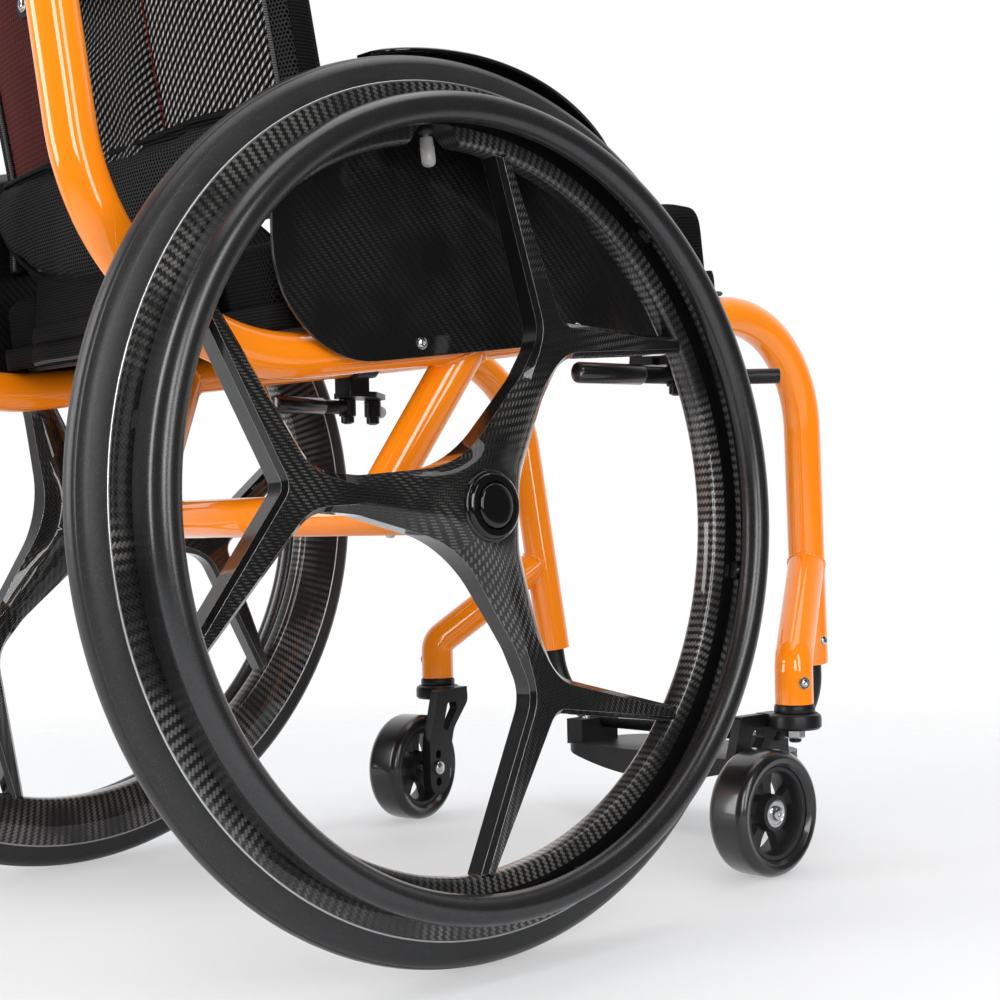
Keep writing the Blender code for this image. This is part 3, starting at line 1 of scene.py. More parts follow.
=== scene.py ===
# %% [markdown]
# # An ultralight wheelchair, dressed piece by piece
# The imported model is a plain grey chair: every tube, wheel and screw hole is where it belongs, but its
# curves are cut into flat facets and it has no finish. This lesson goes round it as a workshop would.
# Each piece is made again, with smooth curves where it needs them and often with rounded edges, or keeps
# its solid, and then it gets the finish of the real one: gloss paint, clear coated carbon, rubber or mesh.

# %% Load the imported chair
from math import atan2, cos, pi, radians, sin, sqrt, tan

import bmesh
import bpy
import numpy as np
from mathutils import Matrix, Vector
from mathutils.geometry import delaunay_2d_cdt


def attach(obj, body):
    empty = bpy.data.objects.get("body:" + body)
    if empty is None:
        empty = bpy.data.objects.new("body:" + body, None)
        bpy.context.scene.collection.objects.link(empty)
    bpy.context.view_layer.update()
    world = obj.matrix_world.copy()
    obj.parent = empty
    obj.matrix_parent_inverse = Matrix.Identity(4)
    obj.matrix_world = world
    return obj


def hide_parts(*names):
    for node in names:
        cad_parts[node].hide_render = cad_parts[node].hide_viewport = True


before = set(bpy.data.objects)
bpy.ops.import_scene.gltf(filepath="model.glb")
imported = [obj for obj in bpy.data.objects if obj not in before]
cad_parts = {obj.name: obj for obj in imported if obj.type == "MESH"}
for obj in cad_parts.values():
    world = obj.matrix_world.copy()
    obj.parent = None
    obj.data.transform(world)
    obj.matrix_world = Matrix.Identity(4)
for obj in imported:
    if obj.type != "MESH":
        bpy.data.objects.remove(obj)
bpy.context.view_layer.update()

# %% [markdown]
# ## The camera
# The chair is seen from low down beside its right rear wheel. A long lens close to a wheel would flatten
# it, so the camera stands where the picture's own perspective puts it: about 1.4 m away, at the height of
# the axle. A camera looks along its own -Z, so its rotation is built from three directions at right
# angles to each other: to the right, upwards, and backwards.

# %% Set the camera
CAMERA_PLACE = (-0.78946, -1.11512, 0.28604)
LENS_LENGTH, SENSOR_WIDTH = 64.45, 36.0


def new_object(name, data):
    """An object in the scene for a mesh, a lamp or a camera."""
    thing = bpy.data.objects.new(name, data)
    bpy.context.scene.collection.objects.link(thing)
    return thing


look = Vector((0.68698, 0.72658, 0.01146)).normalized()
across_view = Vector((0.72663, -0.68669, -0.02152))
across_view = (across_view - look * across_view.dot(look)).normalized()
camera_data = bpy.data.cameras.new("camera")
camera_data.sensor_width = SENSOR_WIDTH
camera_data.lens = LENS_LENGTH
camera_data.clip_start = 0.02
camera = new_object("camera", camera_data)
turn_to_view = Matrix((across_view, across_view.cross(look), -look)).transposed()
camera.matrix_world = Matrix.Translation(CAMERA_PLACE) @ turn_to_view.to_4x4()
bpy.context.scene.camera = camera
print("camera looks along", tuple(round(v, 3) for v in look))

# %% [markdown]
# ## Arithmetic on shader sockets
# A finish that changes over a surface is a small calculation, and a node tree is a slow way to write one.
# This class wraps an output socket so that Python's own signs add the Math nodes: `1 - mask` or
# `wave * 0.5 + 0.5` reads like the formula that it is. Everything else, such as a noise, goes through
# one method of the finish, which takes the node's type, its settings and its inputs.

# %% A socket that can be calculated with


class Signal:
    """An output socket of a node tree that adds a Math node for each of Python's signs."""

    def __init__(self, nodes, socket):
        self.nodes = nodes
        self.socket = socket

    def maths(self, operation, *others, first=None):
        given = [self if first is None else first, *others]
        return self.nodes.node("ShaderNodeMath", {"operation": operation}, dict(enumerate(given)))

    def __add__(self, other):
        return self.maths("ADD", other)

    def __mul__(self, other):
        return self.maths("MULTIPLY", other)

    def __sub__(self, other):
        return self.maths("SUBTRACT", other)

    def __rsub__(self, other):
        return self.maths("SUBTRACT", self, first=other)

    def __truediv__(self, other):
        return self.maths("DIVIDE", other)

    def __pow__(self, other):
        return self.maths("POWER", other)

    def __mod__(self, other):
        return self.maths("FLOORED_MODULO", other)

    def __lt__(self, other):
        return self.maths("LESS_THAN", other)

    def whole(self):
        return self.maths("FLOOR")

    def part(self):
        return self.maths("FRACT")

    def sine(self):
        return self.maths("SINE")

    def largest(self, other):
        return self.maths("MAXIMUM", other)

    def between(self, low, high):
        """0 below low, 1 above high, and a smooth change in between."""
        return self.nodes.node("ShaderNodeMapRange", {"interpolation_type": "SMOOTHSTEP"},
                               {"Value": self, "From Min": low, "From Max": high})


class Nodes:
    """A node tree with one short way to add a node."""

    def __init__(self, tree):
        self.tree = tree

    def feed(self, socket, value):
        """Gives a socket a fixed number or colour, or links a signal to it."""
        if isinstance(value, Signal):
            self.tree.links.new(value.socket, socket)
        else:
            socket.default_value = value

    def node(self, kind, settings, inputs, output=0):
        """Adds one node: its settings first, then the values and links of its sockets."""
        made = self.tree.nodes.new(kind)
        for setting, value in settings.items():
            setattr(made, setting, value)
        for key, value in inputs.items():
            self.feed(made.inputs[key], value)
        return Signal(self, made.outputs[output])


class Finish(Nodes):
    """A material with one Principled shader and short ways to calculate what feeds it."""

    def __init__(self, name, colour, roughness, metallic=0.0, **fixed):
        self.material = bpy.data.materials.new(name)
        self.material.use_nodes = True
        super().__init__(self.material.node_tree)
        self.shader = self.tree.nodes["Principled BSDF"]
        fixed = {"Base_Color": (*colour, 1.0), "Roughness": roughness, "Metallic": metallic, **fixed}
        for socket_name, value in fixed.items():
            self.set(socket_name.replace("_", " "), value)

    def set(self, socket_name, value):
        self.feed(self.shader.inputs[socket_name], value)

    def place(self):
        """The point on the chair at rest, in metres, because each piece keeps its place in its mesh."""
        return self.node("ShaderNodeTexCoord", {}, {}, "Object")

    def thread(self):
        """Distances along and across the cloth in metres, as lay_weave() left them on the mesh."""
        weave = self.node("ShaderNodeAttribute", {"attribute_name": "weave"}, {}, "Vector")
        return [self.node("ShaderNodeSeparateXYZ", {}, {0: weave}, axis) for axis in (0, 1)]

    def noise(self, scale, detail=3.0):
        return self.node("ShaderNodeTexNoise", {},
                         {"Vector": self.place(), "Scale": scale, "Detail": detail}, "Fac")

    def mix(self, share, low, high):
        """Colour between low and high by a share from 0 to 1."""
        low, high = [(*c, 1.0) if isinstance(c, tuple) and len(c) == 3 else c for c in (low, high)]
        return self.node("ShaderNodeMix", {"data_type": "RGBA"}, {0: share, 6: low, 7: high}, 2)

    def bump(self, height, distance, strength=1.0):
        self.set("Normal", self.node("ShaderNodeBump", {}, {
            "Height": height, "Distance": distance, "Strength": strength}, "Normal"))


def grey(level):
    return (level, level, level)


print("finishes can be calculated now")

# %% [markdown]
# ## Gloss paint
# The frame is powder coated bright orange under a clear lacquer. Such a coat is never quite flat: it has
# a faint orange peel, waves of a few millimetres that show only in the reflections. The colour itself is
# even, so the finish is a plain colour with a coat, a slow change of a few per cent, and a very low bump.

# %% Orange paint
paint = Finish("orange_gloss_paint", (1.0, 0.25, 0.001), 0.45, Coat_Weight=1.0, Coat_Roughness=0.05,
               Coat_IOR=1.7, Specular_IOR_Level=0.1)
paint.set("Base Color", paint.mix(paint.noise(9.0, 2.0), (1.0, 0.235, 0.001), (1.0, 0.275, 0.002)))
paint.bump(paint.noise(210.0, 1.0), 0.00006, 0.6)
print("made", paint.material.name)

# %% [markdown]
# ## Clear coated carbon
# The wheels and the side guards are carbon cloth under clear resin. In a two over two twill each tow
# passes over two others and under two, and each row is shifted by one, which draws the diagonal. A tow
# that runs one way catches the light when the other does not; that light is painted into the colour: the
# two directions get different greys, and the lengthways tows carry a painted highlight along their middle
# line, while each gets a rounded bump of its own and the coat above them stays smooth. The cloth's
# coordinates come from the mesh, so that the twill follows a round rim as the real cloth does. Bare resin
# has no cloth, and a bright metal on the thin edges paints the highlight lines that run along them.

# %% Carbon twill


def carbon_finish(name, tow, light, dark, roughness=0.36, coat_roughness=0.03, crest=3.0):
    made = Finish(name, dark, roughness, 0.60, Coat_Weight=1.0, Coat_Roughness=coat_roughness,
                  Specular_IOR_Level=0.2)
    along, across = made.thread()
    column, row = along / tow, across / tow
    step = (column.whole() + row.whole()) % 4.0
    lengthways = step < 1.5
    over_column = (column.part() * pi).sine()
    over_row = (row.part() * pi).sine()
    height = lengthways * over_row + (1 - lengthways) * over_column
    fibres = made.noise(700.0)
    patches = made.noise(14.0, 3.0).between(0.38, 0.66) * 0.85 + 0.15
    # The bright dashes are a painted highlight along the middle of each lengthways tow, with a faint painted
    # sheen on the crosswise tows; patches and fibres vary it.
    painted_tow_highlight = lengthways * (over_row ** crest) * patches + (1 - lengthways) * over_column * 0.13
    made.set("Base Color", made.mix(painted_tow_highlight * (fibres * 0.9 + 0.5), dark, light))
    made.bump(height, tow * 0.08, 0.6)
    return made


# The lighter colour of each carbon is its painted tow highlight, and the darker one is the carbon itself.
wheel_carbon = carbon_finish("carbon_twill_wheel", 0.0019, (0.20, 0.19, 0.18), grey(0.002), crest=2.2)
rim_carbon = carbon_finish("carbon_twill_rim", 0.0021, (0.24, 0.23, 0.22), grey(0.002), crest=0.35)
guard_carbon = carbon_finish("carbon_twill_guard", 0.0018, (0.050, 0.049, 0.048), grey(0.006), 0.42,
                             0.10, 1.0)
bare_resin = Finish("carbon_moulded_edge", grey(0.005), 0.22, Coat_Weight=1.0, Coat_Roughness=0.04,
                    Coat_IOR=1.6, Specular_IOR_Level=0.1)
bare_resin.bump(bare_resin.noise(320.0, 3.0), 0.00012, 0.5)
# A bright metal for the bevels of the wheels' edges and for the rim's lips: it paints thin highlight lines
# along them.
edge_highlight_finish = Finish("carbon_edge_painted_highlight", grey(0.70), 0.34, 1.0, Coat_Weight=1.0)
edge_highlight_finish.bump(edge_highlight_finish.noise(240.0, 2.0), 0.00004, 0.5)
print("twill tows are about 2 mm on the wheels and 1.8 mm on the guards")

# %% [markdown]
# ## Black metal
# Handrims, forks, brakes and clamps are black anodised aluminium: a satin skin with a fine grain from the
# blasting before the dye. A little metal is left in the shader, because the oxide is thin and the
# highlights are those of metal. Machined turning marks would be too coarse for this skin.

# %% Anodised aluminium


def anodised_finish(name, colour, roughness, metallic, grain=2600.0):
    made = Finish(name, colour, roughness, metallic)
    speck = made.noise(grain, 2.0)
    cloud = made.noise(30.0, 3.0)
    made.set("Roughness", cloud * 0.10 + speck * 0.12 + (roughness - 0.11))
    made.bump(speck, 0.00003, 0.5)
    return made


anodised = anodised_finish("black_anodised", (0.014, 0.014, 0.015), 0.36, 0.45)
handrim_black = anodised_finish("black_anodised_handrim", (0.075, 0.075, 0.076), 0.27, 0.85)
gloss_black = Finish("black_gloss_cap", grey(0.004), 0.12, Coat_Weight=1.0, Coat_Roughness=0.02,
                     Specular_IOR_Level=0.1)
gloss_black.bump(gloss_black.noise(160.0, 1.0), 0.00002, 0.3)
steel = anodised_finish("bright_steel", (0.66, 0.66, 0.67), 0.20, 1.0, 900.0)
print("made", anodised.material.name, handrim_black.material.name, "and", steel.material.name)

# %% [markdown]
# ## Rubber and moulded plastic
# New tyre rubber is matt and slightly grey, with a fine grain from the mould and tiny bright specks in
# its colour. The casters are a smoother urethane. The footplate and the caster hubs are moulded plastic with
# a soft sheen and the shallow grain of a sand blasted mould.

# %% Rubber and plastic


def rubber_finish(name, colour, roughness, speck_light, grain=1500.0, **fixed):
    made = Finish(name, colour, roughness, **fixed)
    grainy = made.noise(grain, 3.0)
    speck = made.noise(grain * 1.7, 1.0).between(0.69, 0.74)
    worn = made.noise(45.0, 4.0)
    base = made.mix(worn, tuple(c * 0.8 for c in colour), tuple(c * 1.3 for c in colour))
    made.set("Base Color", made.mix(speck * speck_light, base, grey(0.30)))
    made.set("Roughness", worn * 0.12 + (roughness - 0.06))
    made.bump(grainy, 0.00012, 0.5)
    return made


tyre_rubber = rubber_finish("tyre_rubber", (0.015, 0.015, 0.0155), 0.38, 0.55)
urethane = rubber_finish("caster_urethane", (0.006, 0.006, 0.0065), 0.30, 0.04, 2200.0,
                         Coat_Weight=0.8, Coat_Roughness=0.10)
moulded = rubber_finish("black_moulded_plastic", (0.013, 0.013, 0.014), 0.40, 0.0, 3000.0)
gloss_grip = Finish("black_gloss_grip", (0.010, 0.010, 0.011), 0.24, Coat_Weight=0.6, Coat_Roughness=0.08)
gloss_grip.bump(gloss_grip.noise(500.0, 2.0), 0.00003, 0.5)
print("made", tyre_rubber.material.name, "and", urethane.material.name)

# %% [markdown]
# ## Spacer mesh and webbing
# The cushion and the backrest are covered in spacer mesh: a knitted black cloth with rows of small holes,
# through which a darker layer shows. The coarse panels of the back have a slanted rib like a rope. Both
# are drawn from the cloth's own coordinates. Three waves at 120 degrees to each other make the holes of
# the fine mesh, and two slanted waves make the ribs of the coarse one.

# %% Mesh cloths


def holed_mesh_finish(name, pitch, light, dark):
    made = Finish(name, light, 0.80, Specular_IOR_Level=0.04)
    along, across = made.thread()
    k = 2 * pi / (pitch * sqrt(3) / 2)
    first = (across * k + pi / 2).sine()
    second = (along * (k * sqrt(3) / 2) - across * (k / 2) + pi / 2).sine()
    third = (along * (k * sqrt(3) / 2) + across * (k / 2) - pi / 2).sine()
    wave = first + second - third
    yarn = made.noise(1400.0, 2.0)
    thread = 1 - wave.between(-0.60, 0.75)
    made.set("Base Color", made.mix(thread * (yarn * 0.7 + 0.45), dark, light))
    made.bump(thread + yarn * 0.25, pitch * 0.22, 0.8)
    return made


def ribbed_mesh_finish(name, pitch, light, dark, slant):
    made = Finish(name, light, 0.62, Specular_IOR_Level=0.04)
    along, across = made.thread()
    rib_line = across - along * slant
    rib = ((rib_line * (2 * pi / pitch)).sine() + 1) * 0.5
    knot = (((along + across * 0.35) * (2 * pi / (pitch * 0.62))
             + (rib_line * (1 / pitch)).whole() * 2.3).sine() + 1) * 0.5
    yarn = made.noise(1500.0, 2.0)
    thread = rib.between(0.42, 0.85) * (knot.between(0.15, 0.75) * 0.88 + 0.12)
    made.set("Base Color", made.mix(thread * (yarn * 0.8 + 0.5), dark, light))
    made.bump(thread + yarn * 0.2, pitch * 0.25, 0.9)
    return made


def webbing_finish(name, pitch, light, dark, roughness=0.62):
    made = Finish(name, light, roughness, Specular_IOR_Level=0.04)
    along, across = made.thread()
    rib = ((across * (2 * pi / pitch)).sine() + 1) * 0.5
    weft = ((along * (2 * pi / (pitch * 0.7))).sine() + 1) * 0.5
    yarn = made.noise(1600.0, 2.0)
    made.set("Base Color", made.mix(rib * (weft * 0.4 + 0.6) * (yarn * 0.6 + 0.6), dark, light))
    made.bump(rib + weft * 0.3 + yarn * 0.2, pitch * 0.18, 0.8)
    return made


fine_mesh = holed_mesh_finish("spacer_mesh_fine", 0.0030, (0.032, 0.032, 0.033), grey(0.0005))
cushion_mesh = holed_mesh_finish("spacer_mesh_cushion", 0.0030, (0.013, 0.013, 0.0135), grey(0.0004))
ribbed_mesh = ribbed_mesh_finish("spacer_mesh_ribbed", 0.0056, (0.50, 0.48, 0.46), grey(0.001), -0.80)
webbing = webbing_finish("black_webbing", 0.0022, (0.014, 0.014, 0.015), grey(0.003))
piping = webbing_finish("grey_piping", 0.0016, (0.16, 0.16, 0.165), grey(0.03), 0.5)
red_thread = webbing_finish("red_thread", 0.0016, (0.30, 0.012, 0.010), (0.05, 0.004, 0.004))
print("made", fine_mesh.material.name, ribbed_mesh.material.name, "and", webbing.material.name)

# %% [markdown]
# ## Tools for making shapes
# Most of the chair is turned, bent or cut from plate, and so are its meshes. These helpers turn a profile
# round an axis, sweep a circle along a bent path, round the corners of an outline and extrude it. Pieces
# are made at fine steps here: a rim of 160 steps shows no corners even close to the camera.

# %% Turning, sweeping and cutting


def turned(profile, steps, matrix=None, closed=False):
    """A turned mesh round Z from (radius, height) points; a closed profile makes a ring."""
    bm = bmesh.new()
    rings = []
    for radius, height in profile:
        if radius < 1e-7:
            rings.append([bm.verts.new((0, 0, height))])
        else:
            rings.append([bm.verts.new((radius * cos(2 * pi * i / steps),
                                        radius * sin(2 * pi * i / steps), height))
                          for i in range(steps)])
    pairs = list(zip(rings, rings[1:]))
    if closed:
        pairs.append((rings[-1], rings[0]))
    for first, second in pairs:
        for i in range(steps):
            j = (i + 1) % steps
            if len(first) == 1:
                bm.faces.new((first[0], second[i], second[j]))
            elif len(second) == 1:
                bm.faces.new((first[i], second[0], first[j]))
            else:
                bm.faces.new((first[i], second[i], second[j], first[j]))
    if matrix is not None:
        put(bm, matrix)
    return bm


def circle(radius, height, small, sides):
    """A round section for a turned ring, as (radius, height) points."""
    return [(radius + small * cos(2 * pi * k / sides), height + small * sin(2 * pi * k / sides))
            for k in range(sides)]


def put(bm, matrix):
    bmesh.ops.transform(bm, matrix=matrix, verts=bm.verts)
    return bm


def frame_along(direction):
    """Rotation whose Z axis is the direction."""
    axis = Vector(direction).normalized()
    side = Vector((0, 0, 1)).cross(axis)
    if side.length < 1e-6:
        side = Vector((1, 0, 0)).cross(axis)
    side.normalize()
    return Matrix((side, axis.cross(side), axis)).transposed().to_4x4()


def bent_path(corners, radii, step=radians(3)):
    """Points of a tube's centreline: straight runs with a round bend at each corner."""
    points = [Vector(corners[0])]
    for before, here, after, radius in zip(corners, corners[1:], corners[2:], radii):
        here = Vector(here)
        back = (Vector(before) - here).normalized()
        on = (Vector(after) - here).normalized()
        angle = pi - back.angle(on)
        reach = radius * tan(angle / 2)
        centre = here + (back + on).normalized() * (radius / cos(angle / 2))
        start = here + back * reach - centre
        axis = back.cross(on)
        count = max(3, round(angle / step))
        for i in range(count + 1):
            points.append(centre + Matrix.Rotation(-angle * i / count, 3, axis) @ start)
    points.append(Vector(corners[-1]))
    return points


def skin(bm, loops, closed=False):
    """Faces from each loop of points to the next; the ends are closed by a face each."""
    for first, second in zip(loops, loops[1:] + (loops[:1] if closed else [])):
        for i in range(len(first)):
            j = (i + 1) % len(first)
            bm.faces.new((first[i], first[j], second[j], second[i]))
    if not closed:
        bm.faces.new(loops[0][::-1])
        bm.faces.new(loops[-1])
    return bm


def swept(points, radius, sides=40, closed=False, squeeze=1.0, side=(0, 1, 0)):
    """A tube along points. radius is a number or one number for each point."""
    bm = bmesh.new()
    points = [Vector(p) for p in points]
    count = len(points)
    radii = [radius] * count if isinstance(radius, (int, float)) else list(radius)
    side = Vector(side)
    rings = []
    for i, point in enumerate(points):
        ahead = points[(i + 1) % count] if closed or i < count - 1 else point
        behind = points[i - 1] if closed or i > 0 else point
        tangent = (ahead - behind).normalized()
        side = (side - tangent * side.dot(tangent)).normalized()
        other = tangent.cross(side)
        rings.append([bm.verts.new(point + side * (radii[i] * cos(2 * pi * k / sides))
                                   + other * (radii[i] * squeeze * sin(2 * pi * k / sides)))
                      for k in range(sides)])
    return skin(bm, rings, closed)


def rod(start, end, radius, sides=32, edge=0.0):
    """A round bar between two points, with its end edges rounded off by a small radius."""
    start, end = Vector(start), Vector(end)
    length = (end - start).length
    profile = [(0, 0), (radius - edge, 0)]
    if edge > 0:
        profile += [(radius - edge * 0.3, edge * 0.3), (radius, edge), (radius, length - edge),
                    (radius - edge * 0.3, length - edge * 0.3)]
    profile += [(radius - edge, length), (0, length)]
    return turned(profile, sides, Matrix.Translation(start) @ frame_along(end - start))


def rounded_outline(corners, arc_steps=8):
    """2-D outline with each corner (x, y, radius) rounded to its radius."""
    points = []
    count = len(corners)
    for i in range(count):
        x, y, radius = corners[i]
        here = Vector((x, y))
        if radius <= 0:
            points.append(here)
            continue
        back = (Vector(corners[i - 1][:2]) - here).normalized()
        on = (Vector(corners[(i + 1) % count][:2]) - here).normalized()
        angle = pi - back.angle(on)
        reach = radius * tan(angle / 2)
        centre = here + (back + on).normalized() * (radius / cos(angle / 2))
        start = here + back * reach - centre
        sweep = start.angle_signed(here + on * reach - centre)
        for k in range(arc_steps + 1):
            a = -sweep * k / arc_steps
            points.append(centre + Vector((start.x * cos(a) - start.y * sin(a),
                                           start.x * sin(a) + start.y * cos(a))))
    return points


def plate(outline, low, high, matrix=None):
    """An extruded flat outline between two heights along Z."""
    bm = bmesh.new()
    bottom = [bm.verts.new((p[0], p[1], low)) for p in outline]
    top = [bm.verts.new((p[0], p[1], high)) for p in outline]
    bm.faces.new(bottom[::-1])
    bm.faces.new(top)
    for i in range(len(outline)):
        j = (i + 1) % len(outline)
        bm.faces.new((bottom[i], bottom[j], top[j], top[i]))
    if matrix is not None:
        put(bm, matrix)
    return bm


def block(low, high):
    """A rectangular blank between two corners, to be cut or rounded afterwards."""
    (x0, y0, z0), (x1, y1, z1) = low, high
    return plate([(x0, y0), (x1, y0), (x1, y1), (x0, y1)], z0, z1)


def side_view(y):
    """Places an outline drawn in x and z at a distance y to the left."""
    return Matrix(((1, 0, 0, 0), (0, 0, -1, y), (0, 1, 0, 0), (0, 0, 0, 1)))


def mesh_from(bm, name="step"):
    """A mesh whose faces all turn outwards; the bmesh is used up."""
    bmesh.ops.recalc_face_normals(bm, faces=bm.faces)
    mesh = bpy.data.meshes.new(name)
    bm.to_mesh(mesh)
    bm.free()
    return mesh


def combine(base, tool, operation):
    """One exact Boolean of two meshes; both are used up and a new one is returned."""
    made = [new_object("step", mesh_from(bm)) for bm in (base, tool)]
    modifier = made[0].modifiers.new("cut", "BOOLEAN")
    modifier.operation = operation
    modifier.solver = "EXACT"
    modifier.object = made[1]
    bpy.context.view_layer.update()
    result = bmesh.new()
    result.from_mesh(made[0].evaluated_get(bpy.context.evaluated_depsgraph_get()).to_mesh())
    for thing in made:
        mesh = thing.data
        bpy.data.objects.remove(thing, do_unlink=True)
        bpy.data.meshes.remove(mesh)
    bmesh.ops.remove_doubles(result, verts=result.verts, dist=2e-6)
    bmesh.ops.dissolve_degenerate(result, edges=result.edges, dist=1e-6)
    return result


def join(base, *tools):
    for tool in tools:
        base = combine(base, tool, "UNION")
    return base


def cut(base, *tools):
    for tool in tools:
        base = combine(base, tool, "DIFFERENCE")
    return base


def together(*parts):
    """Several meshes in one, without joining their surfaces."""
    whole = bmesh.new()
    for part in parts:
        mesh = bpy.data.meshes.new("step")
        part.to_mesh(mesh)
        part.free()
        whole.from_mesh(mesh)
        bpy.data.meshes.remove(mesh)
    return whole


def for_side(bm, side):
    """The same mesh for the left (1) or, mirrored, for the right side (-1)."""
    if side < 0:
        put(bm, Matrix.Scale(-1, 4, (0, 1, 0)))
        bmesh.ops.reverse_faces(bm, faces=bm.faces)
    return bm


print("shape tools ready")

# %% [markdown]
# ## From a mesh to a piece of the chair
# A piece has a name, a body of the frame that it moves with, and a finish. Real edges are never perfectly
# sharp: a bevel of half a millimetre catches the thin bright line that makes an edge look machined. The
# cloth coordinates are laid on the mesh here as well, in metres, from one of a few simple rules.

# %% Piece, edges and cloth coordinates
SIDES = ((1, "left"), (-1, "right"))


def piece(name, bm, finish, body="frame", stands_for=(), slot=None, smooth=38, edge=0.0, steps=2,
          angle=32, more=()):
    """Turns a mesh into a named piece that rides on a body. edge is the width of its rounded edges."""
    mesh = mesh_from(bm, name)
    for made in (finish, *more):
        mesh.materials.append(made.material)
    mesh.shade_smooth()
    mesh.set_sharp_from_angle(angle=radians(smooth))
    thing = new_object(name, mesh)
    round_edges(thing, edge, steps, angle)
    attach(thing, body)
    if stands_for:
        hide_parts(*stands_for)
    return thing


def side_piece(word, name, bm, finish, body, node, slot=None, **look):
    """A piece of one side: the side's word stands before its name, its body's and its solid's."""
    return piece(f"{word}_{name}", bm, finish, body if body == "frame" else f"{word}_{body}",
                 [f"{word}_{node}"] if node else (), slot, **look)


def round_edges(thing, edge, steps=2, angle=32, material=-1):
    if edge <= 0:
        return
    bevel = thing.modifiers.new("edges", "BEVEL")
    bevel.width = edge
    bevel.segments = steps
    bevel.limit_method = "ANGLE"
    bevel.angle_limit = radians(angle)
    bevel.harden_normals = True
    bevel.use_clamp_overlap = True
    bevel.material = material


def lay_weave(thing, rule):
    """Writes cloth coordinates on the mesh: rule(points, normals, face centres) gives u and v in metres."""
    mesh = thing.data
    corner_points = np.empty(len(mesh.loops), int)
    mesh.loops.foreach_get("vertex_index", corner_points)
    places = np.empty(len(mesh.vertices) * 3)
    mesh.vertices.foreach_get("co", places)
    counts = np.empty(len(mesh.polygons), int)
    mesh.polygons.foreach_get("loop_total", counts)
    normals = np.empty(len(mesh.polygons) * 3)
    mesh.polygons.foreach_get("normal", normals)
    centres = np.empty(len(mesh.polygons) * 3)
    mesh.polygons.foreach_get("center", centres)
    points = places.reshape(-1, 3)[corner_points]
    u, v = rule(points, np.repeat(normals.reshape(-1, 3), counts, axis=0),
                np.repeat(centres.reshape(-1, 3), counts, axis=0))
    layer = mesh.attributes.new("weave", "FLOAT_VECTOR", "CORNER")
    layer.data.foreach_set("vector", np.stack([u, v, np.zeros(len(u))], axis=1).astype(np.float32).ravel())


def seen_from(matrix, points):
    """An array of points in the coordinates of a frame."""
    inverse = np.array(matrix.inverted())
    return points @ inverse[:3, :3].T + inverse[:3, 3]


def facing_in(matrix, normals):
    """How far an array of normals turns to each axis of a frame, without their signs."""
    return np.abs(normals @ np.array(matrix.inverted())[:3, :3].T)


def flat_cloth(matrix=Matrix.Identity(4)):
    """Cloth laid on the side that each face turns to, in the given frame."""
    def rule(points, normals, _):
        local = seen_from(matrix, points)
        largest = facing_in(matrix, normals).argmax(axis=1)
        return (np.where(largest == 0, local[:, 1], local[:, 0]),
                np.where(largest == 2, local[:, 1], local[:, 2]))

    return rule


def round_cloth(matrix, radius):
    """Cloth wound round an axis: u runs across the ring's section, v round it at the given radius."""
    def rule(points, normals, centres):
        local, middle = seen_from(matrix, points), seen_from(matrix, centres)
        angle = np.arctan2(local[:, 1], local[:, 0])
        centre_angle = np.arctan2(middle[:, 1], middle[:, 0])
        angle = np.where(angle - centre_angle > pi, angle - 2 * pi, angle)
        angle = np.where(centre_angle - angle > pi, angle + 2 * pi, angle)
        out = np.hypot(local[:, 0], local[:, 1])
        steep = facing_in(matrix, normals)[:, 2] > 0.7
        return np.where(steep, out, local[:, 2] + out * 0.4), angle * radius

    return rule


print("ready to make pieces")

# %% [markdown]
# ## The rear wheel's carbon body
# Each rear wheel is one carbon moulding: a deep hollow rim, three arms that fork into two thin spokes,
# and a hub. It leans with its top inwards by about two degrees, so the wheel is made flat, with its own Z
# along the axle, and then stood up by one matrix. The rim is a turned ring with a notch cut in for the
# valve, and a thin lip along both of its outer edges wears the bright edge metal, which paints a
# highlight line round the rim.

# %% Stand of a rear wheel
WHEEL_RADIUS = 0.295
TYRE_HALF_WIDTH = 0.0125
TRACK = 0.500
CAMBER = radians(1.9)
WHEEL_AXLE_Z = (WHEEL_RADIUS - TYRE_HALF_WIDTH) * cos(CAMBER) + TYRE_HALF_WIDTH
RIM_INNER = 0.2370
RIM_STEP = 0.2485
RIM_SIDES = 168
LIP_RADIUS = 0.0009
VALVE_ANGLE = radians(95.5)
ARM_ANGLE = {1: radians(-10), -1: radians(55)}


def wheel_frame(side):
    outward = Vector((0, side * cos(CAMBER), sin(CAMBER)))
    upward = Vector((0, -side * sin(CAMBER), cos(CAMBER)))
    turn = Matrix((upward.cross(outward), upward, outward)).transposed().to_4x4()
    return Matrix.Translation((0, side * TRACK / 2, WHEEL_AXLE_Z)) @ turn


def wheel_angle(side, angle):
    """An angle seen with forward to the right, as an angle in the wheel's own frame."""
    return angle if wheel_frame(side).col[0].xyz.x > 0 else pi - angle


print("the axles are", round(WHEEL_AXLE_Z * 1000, 1), "mm above the floor")

# %% Rim with its valve notch


